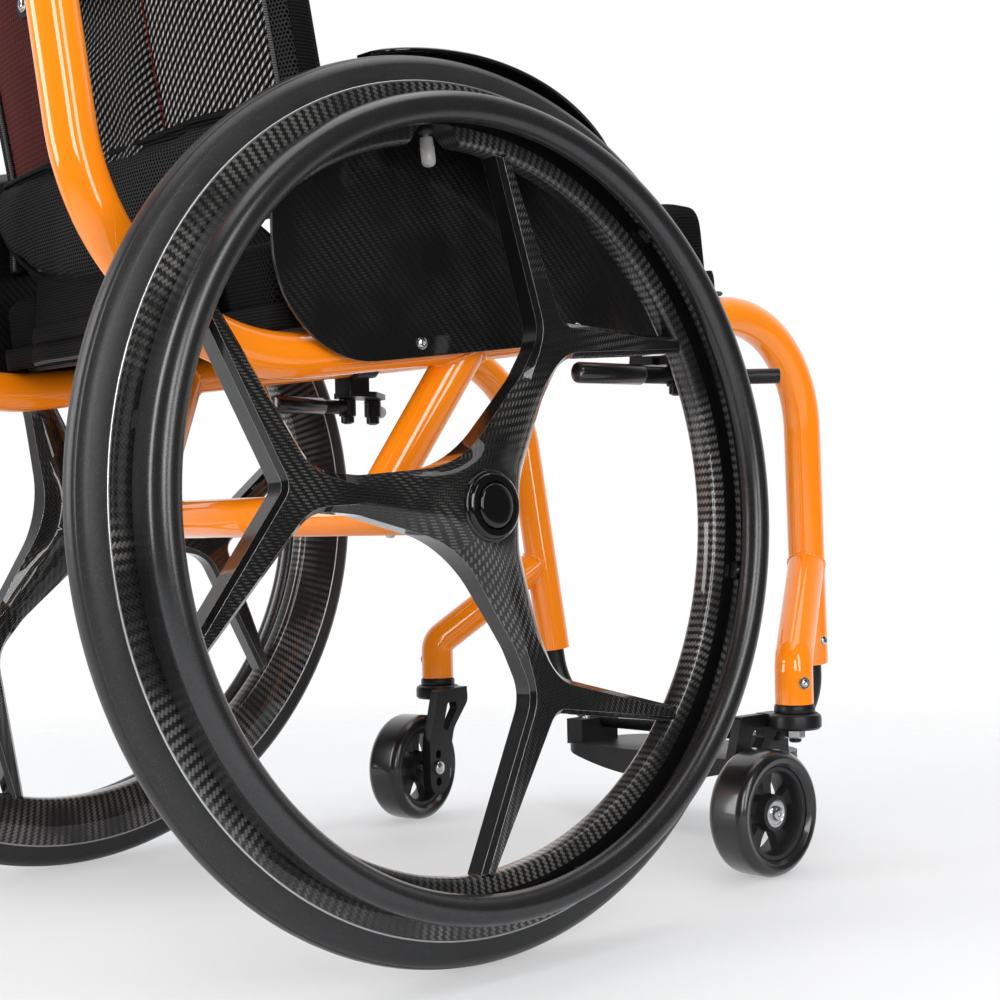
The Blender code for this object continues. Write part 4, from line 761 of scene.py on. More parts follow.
def rim_mesh(side):
    section = rounded_outline([
        (0.2760, 0.0125, 0.0008), (0.2760, 0.0108, 0.0004), (0.2715, 0.0108, 0.0010),
        (0.2715, -0.0108, 0.0010), (0.2760, -0.0108, 0.0004), (0.2760, -0.0125, 0.0008),
        (0.2600, -0.0125, 0.0080), (RIM_INNER, -0.0085, 0.0055),
        (RIM_INNER, 0.0085, 0.0055), (RIM_STEP, 0.0105, 0.0), (0.2600, 0.0125, 0.0080)], 4)
    ring = turned(section, RIM_SIDES, closed=True)
    mouth = rounded_outline([(0.2490, -0.0135, 0.006), (0.2490, 0.0135, 0.006),
                             (0.2300, 0.0270, 0.0), (0.2300, -0.0270, 0.0)], 6)
    angle = wheel_angle(side, VALVE_ANGLE)
    return put(cut(ring, plate(mouth, -0.03, 0.03, Matrix.Rotation(angle, 4, "Z"))), wheel_frame(side))


def slanted_cloth(rule):
    """The same cloth laid at 45 degrees, which turns the ridges of the twill across the rim."""
    def slanted(points, normals, centres):
        along, across = rule(points, normals, centres)
        return (along + across) * sqrt(0.5), (across - along) * sqrt(0.5)
    return slanted


for side, word in SIDES:
    stand = wheel_frame(side)
    rim = side_piece(word, "rim", rim_mesh(side), rim_carbon, "wheel", "wheel_body", "carbon_fibre",
                     smooth=50, more=[bare_resin, edge_highlight_finish])
    to_wheel = stand.inverted()
    for face in rim.data.polygons:
        place = to_wheel @ face.center
        face.material_index = int(place.z > 0.0090 and 0.2475 < place.xy.length < 0.2590)
    # The rim's edge bevels take the third finish, the bright metal that paints a highlight line on them.
    round_edges(rim, 0.0007, 2, 50, 2)
    lay_weave(rim, slanted_cloth(round_cloth(stand, RIM_STEP)))
    # The lips wear the same bright metal, a painted highlight line round both edges of the rim.
    lips = [turned(circle(0.2760, edge, LIP_RADIUS, 12), RIM_SIDES, stand, closed=True)
            for edge in (0.0118, -0.0118)]
    side_piece(word, "rim_lips", together(*lips), edge_highlight_finish, "wheel", "wheel_body", "carbon_fibre")
    print(rim.name, "has", len(rim.data.polygons), "faces")

# %% [markdown]
# ## Forked arms
# Seen from the side an arm is flat with a sharp chamfer, but near the hub it rises to a rounded ridge and
# sinks into low webs between the arms. Such a form is a height over a flat outline: how high a point lies
# depends on how far it is from the outline and from the hub. So the star is filled with triangles that
# follow the outline and the chamfer's inner line, and each point is lifted to its height.

# %% Outline of the star
ARM_HALF_WIDTH = 0.0122
JUNCTION = 0.1330
SPOKE_HALF_WIDTH = 0.0055
SPOKE_SPREAD = radians(26)


def star_outline(phase):
    corners = []
    for k in range(3):
        middle = phase + 2 * pi * k / 3
        along = Vector((cos(middle), sin(middle)))
        across = Vector((-along.y, along.x))
        start = along * JUNCTION
        rows = []
        for sign in (-1, 1):
            toward = middle + sign * SPOKE_SPREAD
            end = Vector((cos(toward), sin(toward))) * (RIM_INNER + 0.003)
            run = (end - start).normalized()
            normal = Vector((-run.y, run.x)) * sign
            rows.append([along * 0.098 + across * (sign * ARM_HALF_WIDTH),
                         start + across * (sign * ARM_HALF_WIDTH),
                         end + normal * SPOKE_HALF_WIDTH, end - normal * SPOKE_HALF_WIDTH])
        lower, upper = rows
        valley = Vector((cos(middle - pi / 3), sin(middle - pi / 3))) * 0.030
        corners += [(*valley, 0.085), (*lower[0], 0.05), (*lower[1], 0.030), (*lower[2], 0.0),
                    (*lower[3], 0.0), (*(along * 0.154), 0.010), (*upper[3], 0.0), (*upper[2], 0.0),
                    (*upper[1], 0.030), (*upper[0], 0.05)]
    return even_steps(rounded_outline(corners, 9), 0.0030)


def even_steps(outline, longest):
    """The same closed outline with no step longer than the given length."""
    points = []
    for here, ahead in zip(outline, outline[1:] + outline[:1]):
        count = max(1, round((ahead - here).length / longest))
        points += [here.lerp(ahead, k / count) for k in range(count)]
    return np.array([tuple(p) for p in points])


# %% Heights over the outline
RIDGE = ((0.020, 0.026, 0.034, 0.045, 0.060, 0.080, 0.100, 0.120),
         (0.0222, 0.0216, 0.0196, 0.0166, 0.0138, 0.0117, 0.0104, 0.0100))
EDGE = ((0.020, 0.030, 0.050, 0.080), (0.0110, 0.0095, 0.0075, 0.0066))
CHAMFER = ((0.030, 0.045, 0.070, 0.088, 0.105, 0.125), (0.0140, 0.0140, 0.0118, 0.0090, 0.0055, 0.0031))


def distance_to(outline, points):
    """Shortest distance of each point to a closed outline."""
    start = outline[None, :, :]
    run = np.roll(outline, -1, axis=0)[None, :, :] - start
    offset = points[:, None, :] - start
    share = np.clip((offset * run).sum(2) / (run * run).sum(2), 0, 1)
    return np.sqrt(((offset - run * share[:, :, None]) ** 2).sum(2)).min(1)


def inside(outline, points):
    """True for each point within a closed outline, by counting the edges to its right."""
    a, b = outline[None, :, :], np.roll(outline, -1, axis=0)[None, :, :]
    x, y = points[:, 0:1], points[:, 1:2]
    spans = (a[:, :, 1] > y) != (b[:, :, 1] > y)
    rise = np.where(b[:, :, 1] == a[:, :, 1], 1e-12, b[:, :, 1] - a[:, :, 1])
    crossing = a[:, :, 0] + (y - a[:, :, 1]) * (b[:, :, 0] - a[:, :, 0]) / rise
    return (spans & (x < crossing)).sum(1) % 2 == 1


def star_height(outline, points):
    radius = np.hypot(points[:, 0], points[:, 1])
    share = np.clip(distance_to(outline, points) / np.interp(radius, *CHAMFER), 0, 1)
    crisp = np.clip((radius - 0.060) / 0.050, 0, 1)
    rise = crisp * share + (1 - crisp) * np.sin(share * pi / 2)
    edge = np.interp(radius, *EDGE)
    return edge + (np.interp(radius, *RIDGE) - edge) * rise


def arm_mesh(phase):
    """The star as a closed mesh, and its outline."""
    outline = star_outline(phase)
    ahead, behind = np.roll(outline, -1, axis=0), np.roll(outline, 1, axis=0)
    run = ahead - behind
    inward = np.stack([-run[:, 1], run[:, 0]], axis=1) / np.linalg.norm(run, axis=1)[:, None]
    if not inside(outline, outline[5:6] + inward[5:6] * 0.002)[0]:
        inward = -inward
    wide = np.interp(np.hypot(outline[:, 0], outline[:, 1]), *CHAMFER)[:, None]
    points, edges = [], []
    for level in (0.0, 0.3, 0.62, 1.0):
        loop = outline + inward * wide * level
        first = len(points)
        points += [Vector(p) for p in loop]
        edges += [(first + k, first + (k + 1) % len(loop)) for k in range(len(loop))]
    grid = np.array([(0.0045 * (i + 0.5 * (j % 2)), 0.0039 * j) for i in range(-55, 56)
                     for j in range(-63, 64)])
    grid = grid[(np.hypot(grid[:, 0], grid[:, 1]) < RIM_INNER + 0.001) & inside(outline, grid)]
    reach = np.interp(np.hypot(grid[:, 0], grid[:, 1]), *CHAMFER)
    points += [Vector(p) for p in grid[distance_to(outline, grid) > reach + 0.0012]]
    flat, _, faces, *_ = delaunay_2d_cdt(points, edges, [], 0, 1e-6)
    flat = np.array([tuple(p) for p in flat])
    middles = np.array([flat[list(f)].mean(0) for f in faces])
    kept = [tuple(f) for f, within in zip(faces, inside(outline, middles)) if within]
    heights = star_height(outline, flat)
    bm = bmesh.new()
    top = [bm.verts.new((x, y, z)) for (x, y), z in zip(flat, heights)]
    low = [bm.verts.new((x, y, -z)) for (x, y), z in zip(flat, heights)]
    border = {}
    for face in kept:
        bm.faces.new([top[i] for i in face])
        bm.faces.new([low[i] for i in reversed(face)])
        for a, b in zip(face, face[1:] + face[:1]):
            border[(a, b)] = (b, a) not in border
            if (b, a) in border:
                border[(b, a)] = False
    for (a, b), open_side in border.items():
        if open_side:
            bm.faces.new((top[b], top[a], low[a], low[b]))
    bmesh.ops.delete(bm, geom=[v for v in bm.verts if not v.link_faces], context="VERTS")
    return bm, outline


for side, word in SIDES:
    stand = wheel_frame(side)
    phase = wheel_angle(side, ARM_ANGLE[side])
    star, outline = arm_mesh(phase)
    arms = side_piece(word, "arms", put(star, stand), wheel_carbon, "wheel", "wheel_body", "carbon_fibre",
                      smooth=24, more=[bare_resin, edge_highlight_finish])
    local = seen_from(stand, np.array([tuple(f.center) for f in arms.data.polygons]))
    radius = np.hypot(local[:, 0], local[:, 1])
    reach = np.interp(radius, *CHAMFER) * (radius > 0.108) * 0.98 + 0.0003
    for face, plain in zip(arms.data.polygons, distance_to(outline, local[:, :2]) < reach):
        face.material_index = int(plain)
    # The arms' edge bevels take the bright metal as well, a painted highlight line along each edge.
    round_edges(arms, 0.0008, 3, 26, 2)

    def arm_cloth(points, _, centres):
        local, middle = seen_from(stand, points), seen_from(stand, centres)
        sector = np.round((np.arctan2(middle[:, 1], middle[:, 0]) - phase) / (2 * pi / 3))
        turn = phase + sector * 2 * pi / 3
        return (local[:, 0] * np.cos(turn) + local[:, 1] * np.sin(turn),
                local[:, 1] * np.cos(turn) - local[:, 0] * np.sin(turn))

    lay_weave(arms, arm_cloth)
    print(arms.name, "has", len(arms.data.polygons), "faces before its bevels")

# %% [markdown]
# ## Hub, bearing and release button
# A glossy cover ring closes the hub round the release button. The button is the domed end of the quick
# release axle: pressing it lets the whole wheel slide off. Hub, cover and button are turned pieces, and
# the button has its plunger behind it.

# %% Hub and button
HUB_SECTION = [(0.0160, 0.0192), (0.0160, 0.0240), (0.0222, 0.0240), (0.0230, 0.0236), (0.0238, 0.0222),
               (0.0244, 0.0195), (0.0248, 0.0140), (0.0248, -0.0100), (0.0238, -0.0190), (0.0222, -0.0248),
               (0.0210, -0.0260), (0.0146, -0.0260), (0.0146, -0.0176), (0.0085, -0.0176), (0.0085, 0.0192)]
COVER_SECTION = [(0.0157, 0.0230), (0.0157, 0.0268), (0.0161, 0.0272), (0.0196, 0.0272), (0.0204, 0.0269),
                 (0.0209, 0.0262), (0.0216, 0.0258), (0.0219, 0.0250), (0.0219, 0.0230)]
BUTTON_SECTION = [(0, -0.080), (0.0026, -0.080), (0.0026, 0.0235), (0.0136, 0.0235), (0.0148, 0.0240),
                  (0.0150, 0.0250), (0.0149, 0.0266), (0.0142, 0.0278), (0.0128, 0.0285),
                  (0.0095, 0.0289), (0.0050, 0.0290), (0, 0.0290)]
PIN_END = -(0.250 - 0.203 + 0.055 - 0.004)

for side, word in SIDES:
    stand = wheel_frame(side)
    side_piece(word, "hub", turned(HUB_SECTION, 96, stand, closed=True), bare_resin, "wheel", "wheel_body",
               "carbon_fibre", smooth=45)
    side_piece(word, "hub_cover", turned(COVER_SECTION, 96, stand, closed=True), gloss_black, "wheel",
               "wheel_body", "black_plastic", smooth=45)
    bearing = turned([(0.0066, -0.0258), (0.0143, -0.0258), (0.0143, -0.0180), (0.0066, -0.0180)], 64,
                     stand, closed=True)
    side_piece(word, "hub_bearing", bearing, steel, "wheel", "wheel_bearing", "bright_steel", edge=0.0004)
    side_piece(word, "release_button", turned(BUTTON_SECTION, 72, stand), gloss_black, "button",
               "axle_button", "black_plastic", smooth=50)
    pin = turned([(0, PIN_END), (0.0050, PIN_END), (0.00635, PIN_END + 0.003), (0.00635, 0.0170),
                  (0.0032, 0.0170), (0.0032, PIN_END + 0.012), (0, PIN_END + 0.012)], 40, stand)
    side_piece(word, "quick_release_axle", pin, steel, "frame", "axle_pin", "bright_steel")
    print(word, "hub, bearing, button and axle made")

# %% [markdown]
# ## Tyre
# The slick tyre has a round tread with two shallow grooves and a fine seam where the mould closes. It is
# a turned ring again, and its section is drawn by degrees round a small circle, a little lower where a
# groove runs.

# %% Tyre section


def tyre_section():
    middle = WHEEL_RADIUS - TYRE_HALF_WIDTH
    section = [(0.2718, 0.0104), (0.2763, 0.0104), (0.2764, 0.0119)]
    for degrees in range(22, 159, 4):
        depth = 0.0
        if degrees in (62, 118):
            depth = 0.0006
        if degrees == 90:
            depth = -0.00008
        radius = TYRE_HALF_WIDTH - depth - 0.0001
        section.append((middle + radius * sin(radians(degrees)), radius * cos(radians(degrees))))
    return section + [(0.2764, -0.0119), (0.2763, -0.0104), (0.2718, -0.0104)]


for side, word in SIDES:
    tread = turned(tyre_section(), 216, wheel_frame(side), closed=True)
    tyre = side_piece(word, "tyre_tread", tread, tyre_rubber, "wheel", "tyre", "tyre_rubber", smooth=40)
    print(tyre.name, "has", len(tyre.data.polygons), "faces")

# %% [markdown]
# ## Handrim
# The user pushes the round handrim, and a flat band between it and the rim gives the thumb more grip.
# Six tabs hold it to the rim, each with a small round screw. Tube, band, tabs and screws stay separate
# shells in one mesh, which is how they touch on the real one as well.

# %% Handrim with band and tabs
TABS = 6
FIRST_TAB = radians(48.8)


def handrim_mesh(side):
    band = rounded_outline([(0.2609, 0.0350, 0.0005), (0.2609, 0.0150, 0.0009), (0.2632, 0.0150, 0.0009),
                            (0.2632, 0.0330, 0.0005)], 4)
    parts = [turned(circle(0.2549, 0.0344, 0.0100, 36), 180, closed=True), turned(band, 180, closed=True)]
    for k in range(TABS):
        turn = Matrix.Rotation(wheel_angle(side, FIRST_TAB) + pi * k / 3, 4, "Z")
        foot = rounded_outline([(0.2545, -0.0065, 0.003), (0.2628, -0.0080, 0.003),
                                (0.2628, 0.0080, 0.003), (0.2545, 0.0065, 0.003)], 5)
        parts.append(plate(foot, 0.0128, 0.0182, turn))
        parts.append(turned([(0, 0.0182), (0.0042, 0.0182), (0.0042, 0.0200), (0.0034, 0.0208),
                             (0, 0.0210)], 24, turn @ Matrix.Translation((0.2580, 0, 0))))
    return put(together(*parts), wheel_frame(side))


for side, word in SIDES:
    side_piece(word, "handrim_tube", handrim_mesh(side), handrim_black, "wheel", "handrim",
               "black_anodised", smooth=40)
    print(word, "handrim made")

# %% [markdown]
# ## Valve
# The valve stands in the notch and points at the hub. Its base is a black nut, its stem is plated, and a
# milky plastic cap covers the end. The three are turned on one line and differ only in their finish.

# %% Valve with its cap
milky = Finish("milky_plastic", (0.46, 0.45, 0.43), 0.22, Transmission_Weight=0.35, Subsurface_Weight=0.2,
               Subsurface_Radius=grey(0.002))
milky.bump(milky.noise(600.0, 2.0), 0.00004, 0.5)
VALVE_PARTS = (
    ("valve_nut", [(0, 0), (0.0052, 0), (0.0056, 0.0006), (0.0056, 0.0030), (0.0048, 0.0040), (0, 0.0040)],
     moulded),
    ("valve_stem", [(0, 0.0030), (0.0030, 0.0030), (0.0030, 0.0098), (0, 0.0098)], steel),
    ("valve_cap", [(0, 0.0062), (0.0040, 0.0062), (0.0044, 0.0068), (0.0044, 0.0120), (0.0048, 0.0126),
                   (0.0048, 0.0215), (0.0043, 0.0236), (0.0030, 0.0250), (0.0014, 0.0255),
                   (0, 0.0256)], milky),
)
for side, word in SIDES:
    base = Matrix.Rotation(wheel_angle(side, VALVE_ANGLE), 4, "Z") @ Matrix.Translation((RIM_STEP, 0, 0))
    for name, section, finish in VALVE_PARTS:
        side_piece(word, name, turned(section, 32, wheel_frame(side) @ base @ frame_along((-1, 0, 0))),
                   finish, "wheel", "valve", smooth=45)
    print(word, "valve made")

# %% [markdown]
# ## Casters
# The front wheels are small and wide. A urethane tread sits on a hub with five dished spokes, and the hub
# turns on a bolt in a fork with one leg. The fork hangs under a round crown and swivels with it. Both
# casters are made for the left side, about their own axis, and mirrored for the right; the left one
# stands turned by 12 degrees, as casters do when a chair is parked.

# %% Caster wheels
CASTER = Vector((0.3820, 0.2190, 0.0))
TRAIL = 0.0430
CASTER_RADIUS = 0.0500
CASTER_HALF = 0.0185
TREAD_SECTION = rounded_outline([
    (0.0373, 0.0140, 0.0004), (0.0400, 0.0175, 0.0015), (0.0440, 0.0185, 0.0030),
    (0.0500, 0.0155, 0.0090), (0.0500, -0.0155, 0.0090), (0.0440, -0.0185, 0.0030),
    (0.0400, -0.0175, 0.0015), (0.0373, -0.0140, 0.0004)], 7)
TO_Y = frame_along((0, 1, 0))
PARKED_TURN = radians(12)
CASTER_SPOKES = 5


def swivel_frame(side):
    stand = Matrix.Translation((CASTER.x, side * CASTER.y, 0))
    return stand @ Matrix.Rotation(PARKED_TURN if side > 0 else 0.0, 4, "Z")


def hub_mesh():
    hub = turned([(0.0370, 0.0132), (0.0366, 0.0136), (0.0334, 0.0136), (0.0328, 0.0128), (0.0312, 0.0050),
                  (0.0310, 0.0), (0.0312, -0.0050), (0.0328, -0.0128), (0.0334, -0.0136),
                  (0.0366, -0.0136), (0.0370, -0.0132)], 96, closed=True)
    for k in range(CASTER_SPOKES):
        arm = rounded_outline([(0.0080, -0.0052, 0.0), (0.0215, -0.0046, 0.02), (0.0345, -0.0082, 0.0),
                               (0.0345, 0.0082, 0.0), (0.0215, 0.0046, 0.02), (0.0080, 0.0052, 0.0)], 5)
        turn = Matrix.Rotation(2 * pi * k / CASTER_SPOKES + 0.3, 4, "Z")
        hub = join(hub, plate(arm, -0.0042, 0.0042, turn))
    boss = turned([(0.0056, -0.0125), (0.0130, -0.0125), (0.0142, -0.0118), (0.0152, -0.0040),
                   (0.0152, 0.0040), (0.0142, 0.0118), (0.0130, 0.0125), (0.0113, 0.0125),
                   (0.0113, 0.0052), (0.0056, 0.0052)], 64, closed=True)
    return join(hub, boss)


CASTER_PARTS = (
    ("caster_tread", lambda: turned(TREAD_SECTION, 120, closed=True), urethane,
     "caster", "caster_tyre", "caster_rubber", {"smooth": 45}),
    ("caster_spokes", hub_mesh, moulded, "caster", "caster_hub", "black_plastic", {"edge": 0.0007}),
    ("caster_ball_bearing", lambda: turned([
        (0.0044, 0.0055), (0.0110, 0.0055), (0.0110, 0.0124), (0.0104, 0.0126), (0.0092, 0.0126),
        (0.0088, 0.0122), (0.0064, 0.0122), (0.0060, 0.0126), (0.0044, 0.0126)], 64, closed=True), steel,
     "caster", "caster_bearing", "bright_steel", {"smooth": 45}),
    ("caster_bolt", lambda: turned([
        (0, -0.0348), (0.0030, -0.0348), (0.0056, -0.0340), (0.0065, -0.0325), (0.0065, -0.0313),
        (0.0040, -0.0313), (0.0040, -0.0223), (0.0062, -0.0223), (0.0062, -0.0130), (0.0040, -0.0130),
        (0.0040, 0.0128), (0.0058, 0.0128), (0.0058, 0.0140), (0.0050, 0.0154), (0.0026, 0.0158),
        (0.0024, 0.0146), (0, 0.0146)], 40), steel, "swivel", "caster_axle", "bright_steel", {"smooth": 45}))
CASTER_AXLE = Matrix.Translation((-TRAIL, 0, CASTER_RADIUS)) @ TO_Y
for side, word in SIDES:
    for name, make, finish, body, node, slot, look_of in CASTER_PARTS:
        shape = put(for_side(put(make(), CASTER_AXLE), side), swivel_frame(side))
        side_piece(word, name, shape, finish, body, node, slot, **look_of)
    print(word, "caster wheel made")

# %% [markdown]
# ## Caster forks
# The fork is milled from one piece of aluminium: a thick round crown, an inboard leg with three holes for
# the wheel's bolt, so that the seat height can be set, and a window that saves weight. It is drawn as a
# side outline, extruded to nine millimetres, and joined to the crown by a short bridge.

# %% Fork, stem and nut
FORK_OUTLINE = ((-0.0130, -0.0240, 0.012), (0.0170, -0.0240, 0.014), (0.0195, 0.0120, 0.012),
                (0.0265, 0.0360, 0.024), (0.0500, 0.0600, 0.010), (0.0490, 0.0735, 0.007),
                (0.0020, 0.0735, 0.004), (-0.0050, 0.0500, 0.012), (-0.0130, 0.0280, 0.012))
FORK_SLOT = ((0.0085, 0.0370, 0.003), (0.0150, 0.0335, 0.003), (0.0320, 0.0545, 0.004),
             (0.0300, 0.0612, 0.003), (0.0170, 0.0612, 0.004))
CROWN_LOW, CROWN_HIGH = 0.1120, 0.1250
FORK_CLEARANCE = 0.0035


def from_axle(outline):
    return rounded_outline([(x - TRAIL, z + CASTER_RADIUS, r) for x, z, r in outline], 8)


def fork_mesh():
    inner = -(CASTER_HALF + FORK_CLEARANCE)
    crown = turned([(0, CROWN_LOW), (0.0195, CROWN_LOW), (0.0215, CROWN_LOW + 0.002),
                    (0.0215, CROWN_HIGH - 0.004), (0.0207, CROWN_HIGH - 0.0015),
                    (0.0185, CROWN_HIGH), (0, CROWN_HIGH)], 80)
    leg = plate(from_axle(FORK_OUTLINE), 0, 0.0090, side_view(inner))
    bridge = block((-0.012, inner - 0.008, CROWN_LOW + 0.001), (0.0075, -0.002, CROWN_HIGH - 0.001))
    holes = [rod((-TRAIL, inner - 0.02, CASTER_RADIUS + step), (-TRAIL, 0, CASTER_RADIUS + step), 0.0043)
             for step in (-0.013, 0.0, 0.013)]
    slot = plate(from_axle(FORK_SLOT), -0.02, 0.02, side_view(inner))
    return cut(join(crown, bridge, leg), slot, rod((0, 0, 0.09), (0, 0, 0.14), 0.0056), *holes)


for side, word in SIDES:
    side_piece(word, "fork", put(for_side(fork_mesh(), side), swivel_frame(side)), anodised, "swivel",
               "caster_fork", "black_anodised", edge=0.0009, steps=3)
    upright = Matrix.Translation((CASTER.x, side * CASTER.y, 0))
    stem = turned([(0, 0.1010), (0.0038, 0.1010), (0.0050, 0.1020), (0.0050, 0.1250), (0.0060, 0.1253),
                   (0.0163, 0.1253), (0.0166, 0.1262), (0.0166, 0.1300), (0.0160, 0.1315), (0.0154, 0.1317),
                   (0.0060, 0.1317), (0.0060, 0.1610), (0, 0.1610)], 64, upright)
    side_piece(word, "swivel_stem", stem, anodised, "frame", "caster_stem", "black_anodised", smooth=45)
    nut = cut(turned([(0, 0.1045), (0.0076, 0.1045), (0.0082, 0.1052), (0.0082, 0.1108), (0.0076, 0.1115),
                      (0, 0.1115)], 6), rod((0, 0, 0.09), (0, 0, 0.13), 0.0053))
    side_piece(word, "swivel_nut", put(nut, swivel_frame(side)), steel, "swivel", "caster_nut",
               "bright_steel", edge=0.0004)
    print(word, "fork, stem and nut made")

# %% [markdown]
# ## Bent side tubes
# One tube on each side is front leg, seat rail and back upright at once. It is bent cold from aluminium,
# so its section stays round all the way. Here a circle is swept along the same centreline of straight
# runs and round bends, with a step of two degrees, and the socket for the foot tube is cut in its foot.

# %% Side tubes
FRAME_TUBE = 0.0155
RAIL_Y = 0.1794
RAIL_REAR_Z, RAIL_FRONT_Z = 0.3787, 0.4620
UPRIGHT_FOOT_X, UPRIGHT_TOP_X, UPRIGHT_TOP = -0.2256, -0.2767, 0.7300
LEG_TOP_X = 0.4507
RAIL_SLOPE = atan2(RAIL_FRONT_Z - RAIL_REAR_Z, LEG_TOP_X - UPRIGHT_FOOT_X)
AXLE_TUBE_Z = 0.29237
LEG_FOOT = Vector((0.4851, 0.1583, 0.1560))


def rail_point(x):
    return Vector((x, RAIL_Y, RAIL_REAR_Z + (x - UPRIGHT_FOOT_X) * tan(RAIL_SLOPE)))


def upright_point(z):
    share = (z - RAIL_REAR_Z) / (UPRIGHT_TOP - RAIL_REAR_Z)
    return Vector((UPRIGHT_FOOT_X + (UPRIGHT_TOP_X - UPRIGHT_FOOT_X) * share, RAIL_Y, z))


LEG_AXIS = (LEG_FOOT - rail_point(LEG_TOP_X)).normalized()


def leg_point(z):
    return LEG_FOOT + LEG_AXIS * ((z - LEG_FOOT.z) / LEG_AXIS.z)


def side_tube_mesh():
    corners = [LEG_FOOT, rail_point(LEG_TOP_X), rail_point(UPRIGHT_FOOT_X), upright_point(UPRIGHT_TOP)]
    tube = swept(bent_path(corners, [0.1031, 0.1516], radians(2)), FRAME_TUBE, 56)
    return cut(tube, rod(LEG_FOOT - LEG_AXIS * 0.02, LEG_FOOT + LEG_AXIS * 0.01, 0.0098, 40))


for side, word in SIDES:
    side_piece(word, "bent_tube", for_side(side_tube_mesh(), side), paint, "frame", "side_tube",
               "orange_paint", edge=0.0007, angle=50)
    cap_stand = Matrix.Translation(upright_point(UPRIGHT_TOP)) @ frame_along(
        upright_point(UPRIGHT_TOP) - upright_point(RAIL_REAR_Z))
    cap = turned([(0, 0.0003), (0.0150, 0.0003), (0.0155, 0.0010), (0.0154, 0.0026), (0.0146, 0.0044),
                  (0.0128, 0.0060), (0.0090, 0.0073), (0.0045, 0.0079), (0, 0.0080)], 48, cap_stand)
    side_piece(word, "tube_cap", for_side(cap, side), moulded, "frame", "upright_cap", "black_plastic",
               smooth=50)
    print(word, "side tube bent")

# %% [markdown]
# ## Braces, axle tube and their welds
# A brace runs from each rail down to the axle tube, and an arm runs from each leg out to the caster's
# housing. Where two tubes meet, a weld bead lies along the curve in which their surfaces cross. For a
# thin line round the joined tube this curve has a closed form: along each line of the tube's surface it
# is the place at the other tube's radius, which is one quadratic equation.

# %% Tubes that are welded on
BEAD_POINTS, BEAD_RIPPLES = 96, 24
JOINED_TUBE = 0.0155


def weld_bead(start, direction, radius, other, other_direction, other_radius, width=0.0021):
    """A bead where a tube from start along direction leaves the surface of another tube."""
    direction, other_direction = direction.normalized(), other_direction.normalized()
    turn = frame_along(direction)
    ring = []
    for k in range(BEAD_POINTS):
        a = 2 * pi * k / BEAD_POINTS
        foot = start + (turn @ Vector((cos(a), sin(a), 0))) * radius - other
        flat_foot = foot - other_direction * foot.dot(other_direction)
        flat_run = direction - other_direction * direction.dot(other_direction)
        aa, bb = flat_run.length_squared, flat_foot.dot(flat_run)
        under_root = bb * bb - aa * (flat_foot.length_squared - other_radius * other_radius)
        ring.append(other + foot + direction * ((-bb + sqrt(max(0.0, under_root))) / aa))
    sizes = [width * (1 + 0.13 * sin(2 * pi * BEAD_RIPPLES * k / BEAD_POINTS)) for k in range(BEAD_POINTS)]
    return swept(ring, sizes, 14, closed=True, side=direction.orthogonal())


def brace_meshes():
    foot = Vector((0.0030, 0.1450, AXLE_TUBE_Z))
    head = rail_point(0.0680)
    run = head - foot
    rail_line = rail_point(1.0) - rail_point(0.0)
    return (rod(foot, head, JOINED_TUBE, 56),
            weld_bead(head, -run, JOINED_TUBE, head, rail_line, FRAME_TUBE),
            weld_bead(foot, run, JOINED_TUBE, foot - Vector((0.0030, 0, 0)), Vector((0, 1, 0)), 0.0150))


def caster_arm_meshes():
    foot = Vector((CASTER.x, CASTER.y, 0.1320))
    corner = Vector((CASTER.x, CASTER.y, 0.1670))
    end = leg_point(0.2450)
    arm = swept(bent_path([foot, corner, end], [0.017], radians(6)), JOINED_TUBE, 56)
    bore = rod(foot - Vector((0, 0, 0.01)), foot + Vector((0, 0, 0.0295)), 0.0064, 32)
    return cut(arm, bore), weld_bead(end, corner - end, 0.0152, LEG_FOOT, LEG_AXIS, FRAME_TUBE, 0.0014)


for side, word in SIDES:
    brace, *beads = brace_meshes()
    side_piece(word, "brace", for_side(together(brace, *beads), side), paint, "frame", "strut",
               "orange_paint")
    arm, bead = caster_arm_meshes()
    side_piece(word, "caster_housing", for_side(arm, side), paint, "frame", "caster_arm", "orange_paint",
               edge=0.0007, angle=50)
    side_piece(word, "caster_weld", for_side(bead, side), paint, "frame", None)
    print(word, "brace and caster arm welded on")

axle_line = Matrix.Translation((0, 0, AXLE_TUBE_Z)) @ TO_Y
axle = turned([(0.0118, -0.2030), (0.0145, -0.2030), (0.0150, -0.2025), (0.0150, 0.2025), (0.0145, 0.2030),
               (0.0118, 0.2030)], 56, axle_line, closed=True)
piece("cross_axle_tube", axle, paint, "frame", ["axle_tube"], "orange_paint", smooth=45)
for side, word in SIDES:
    plug = turned([(0, 0.1480), (0.0114, 0.1480), (0.0114, 0.2033), (0.0147, 0.2033), (0.0150, 0.2040),
                   (0.0146, 0.2135), (0.0138, 0.2150), (0.0094, 0.2150), (0.0094, 0.2190), (0, 0.2190)],
                  56, axle_line)
    stand = wheel_frame(side)
    bore = rod(stand @ Vector((0, 0, 0.02)), stand @ Vector((0, 0, -0.166)), 0.0068, 32)
    side_piece(word, "camber_sleeve", cut(for_side(plug, side), bore), anodised, "frame", "camber_plug",
               "black_anodised", edge=0.0004)
print("axle tube and its two camber sleeves made")

# %% [markdown]
# ## Screws
# The chair is held together by button head screws with a hexagon socket. They are small, but their
# bright heads are what the eye finds first on a dark guard. One function makes a head with its socket
# and places it on a surface: it needs the point, the direction that it faces, and a size.

# %% Button head screws


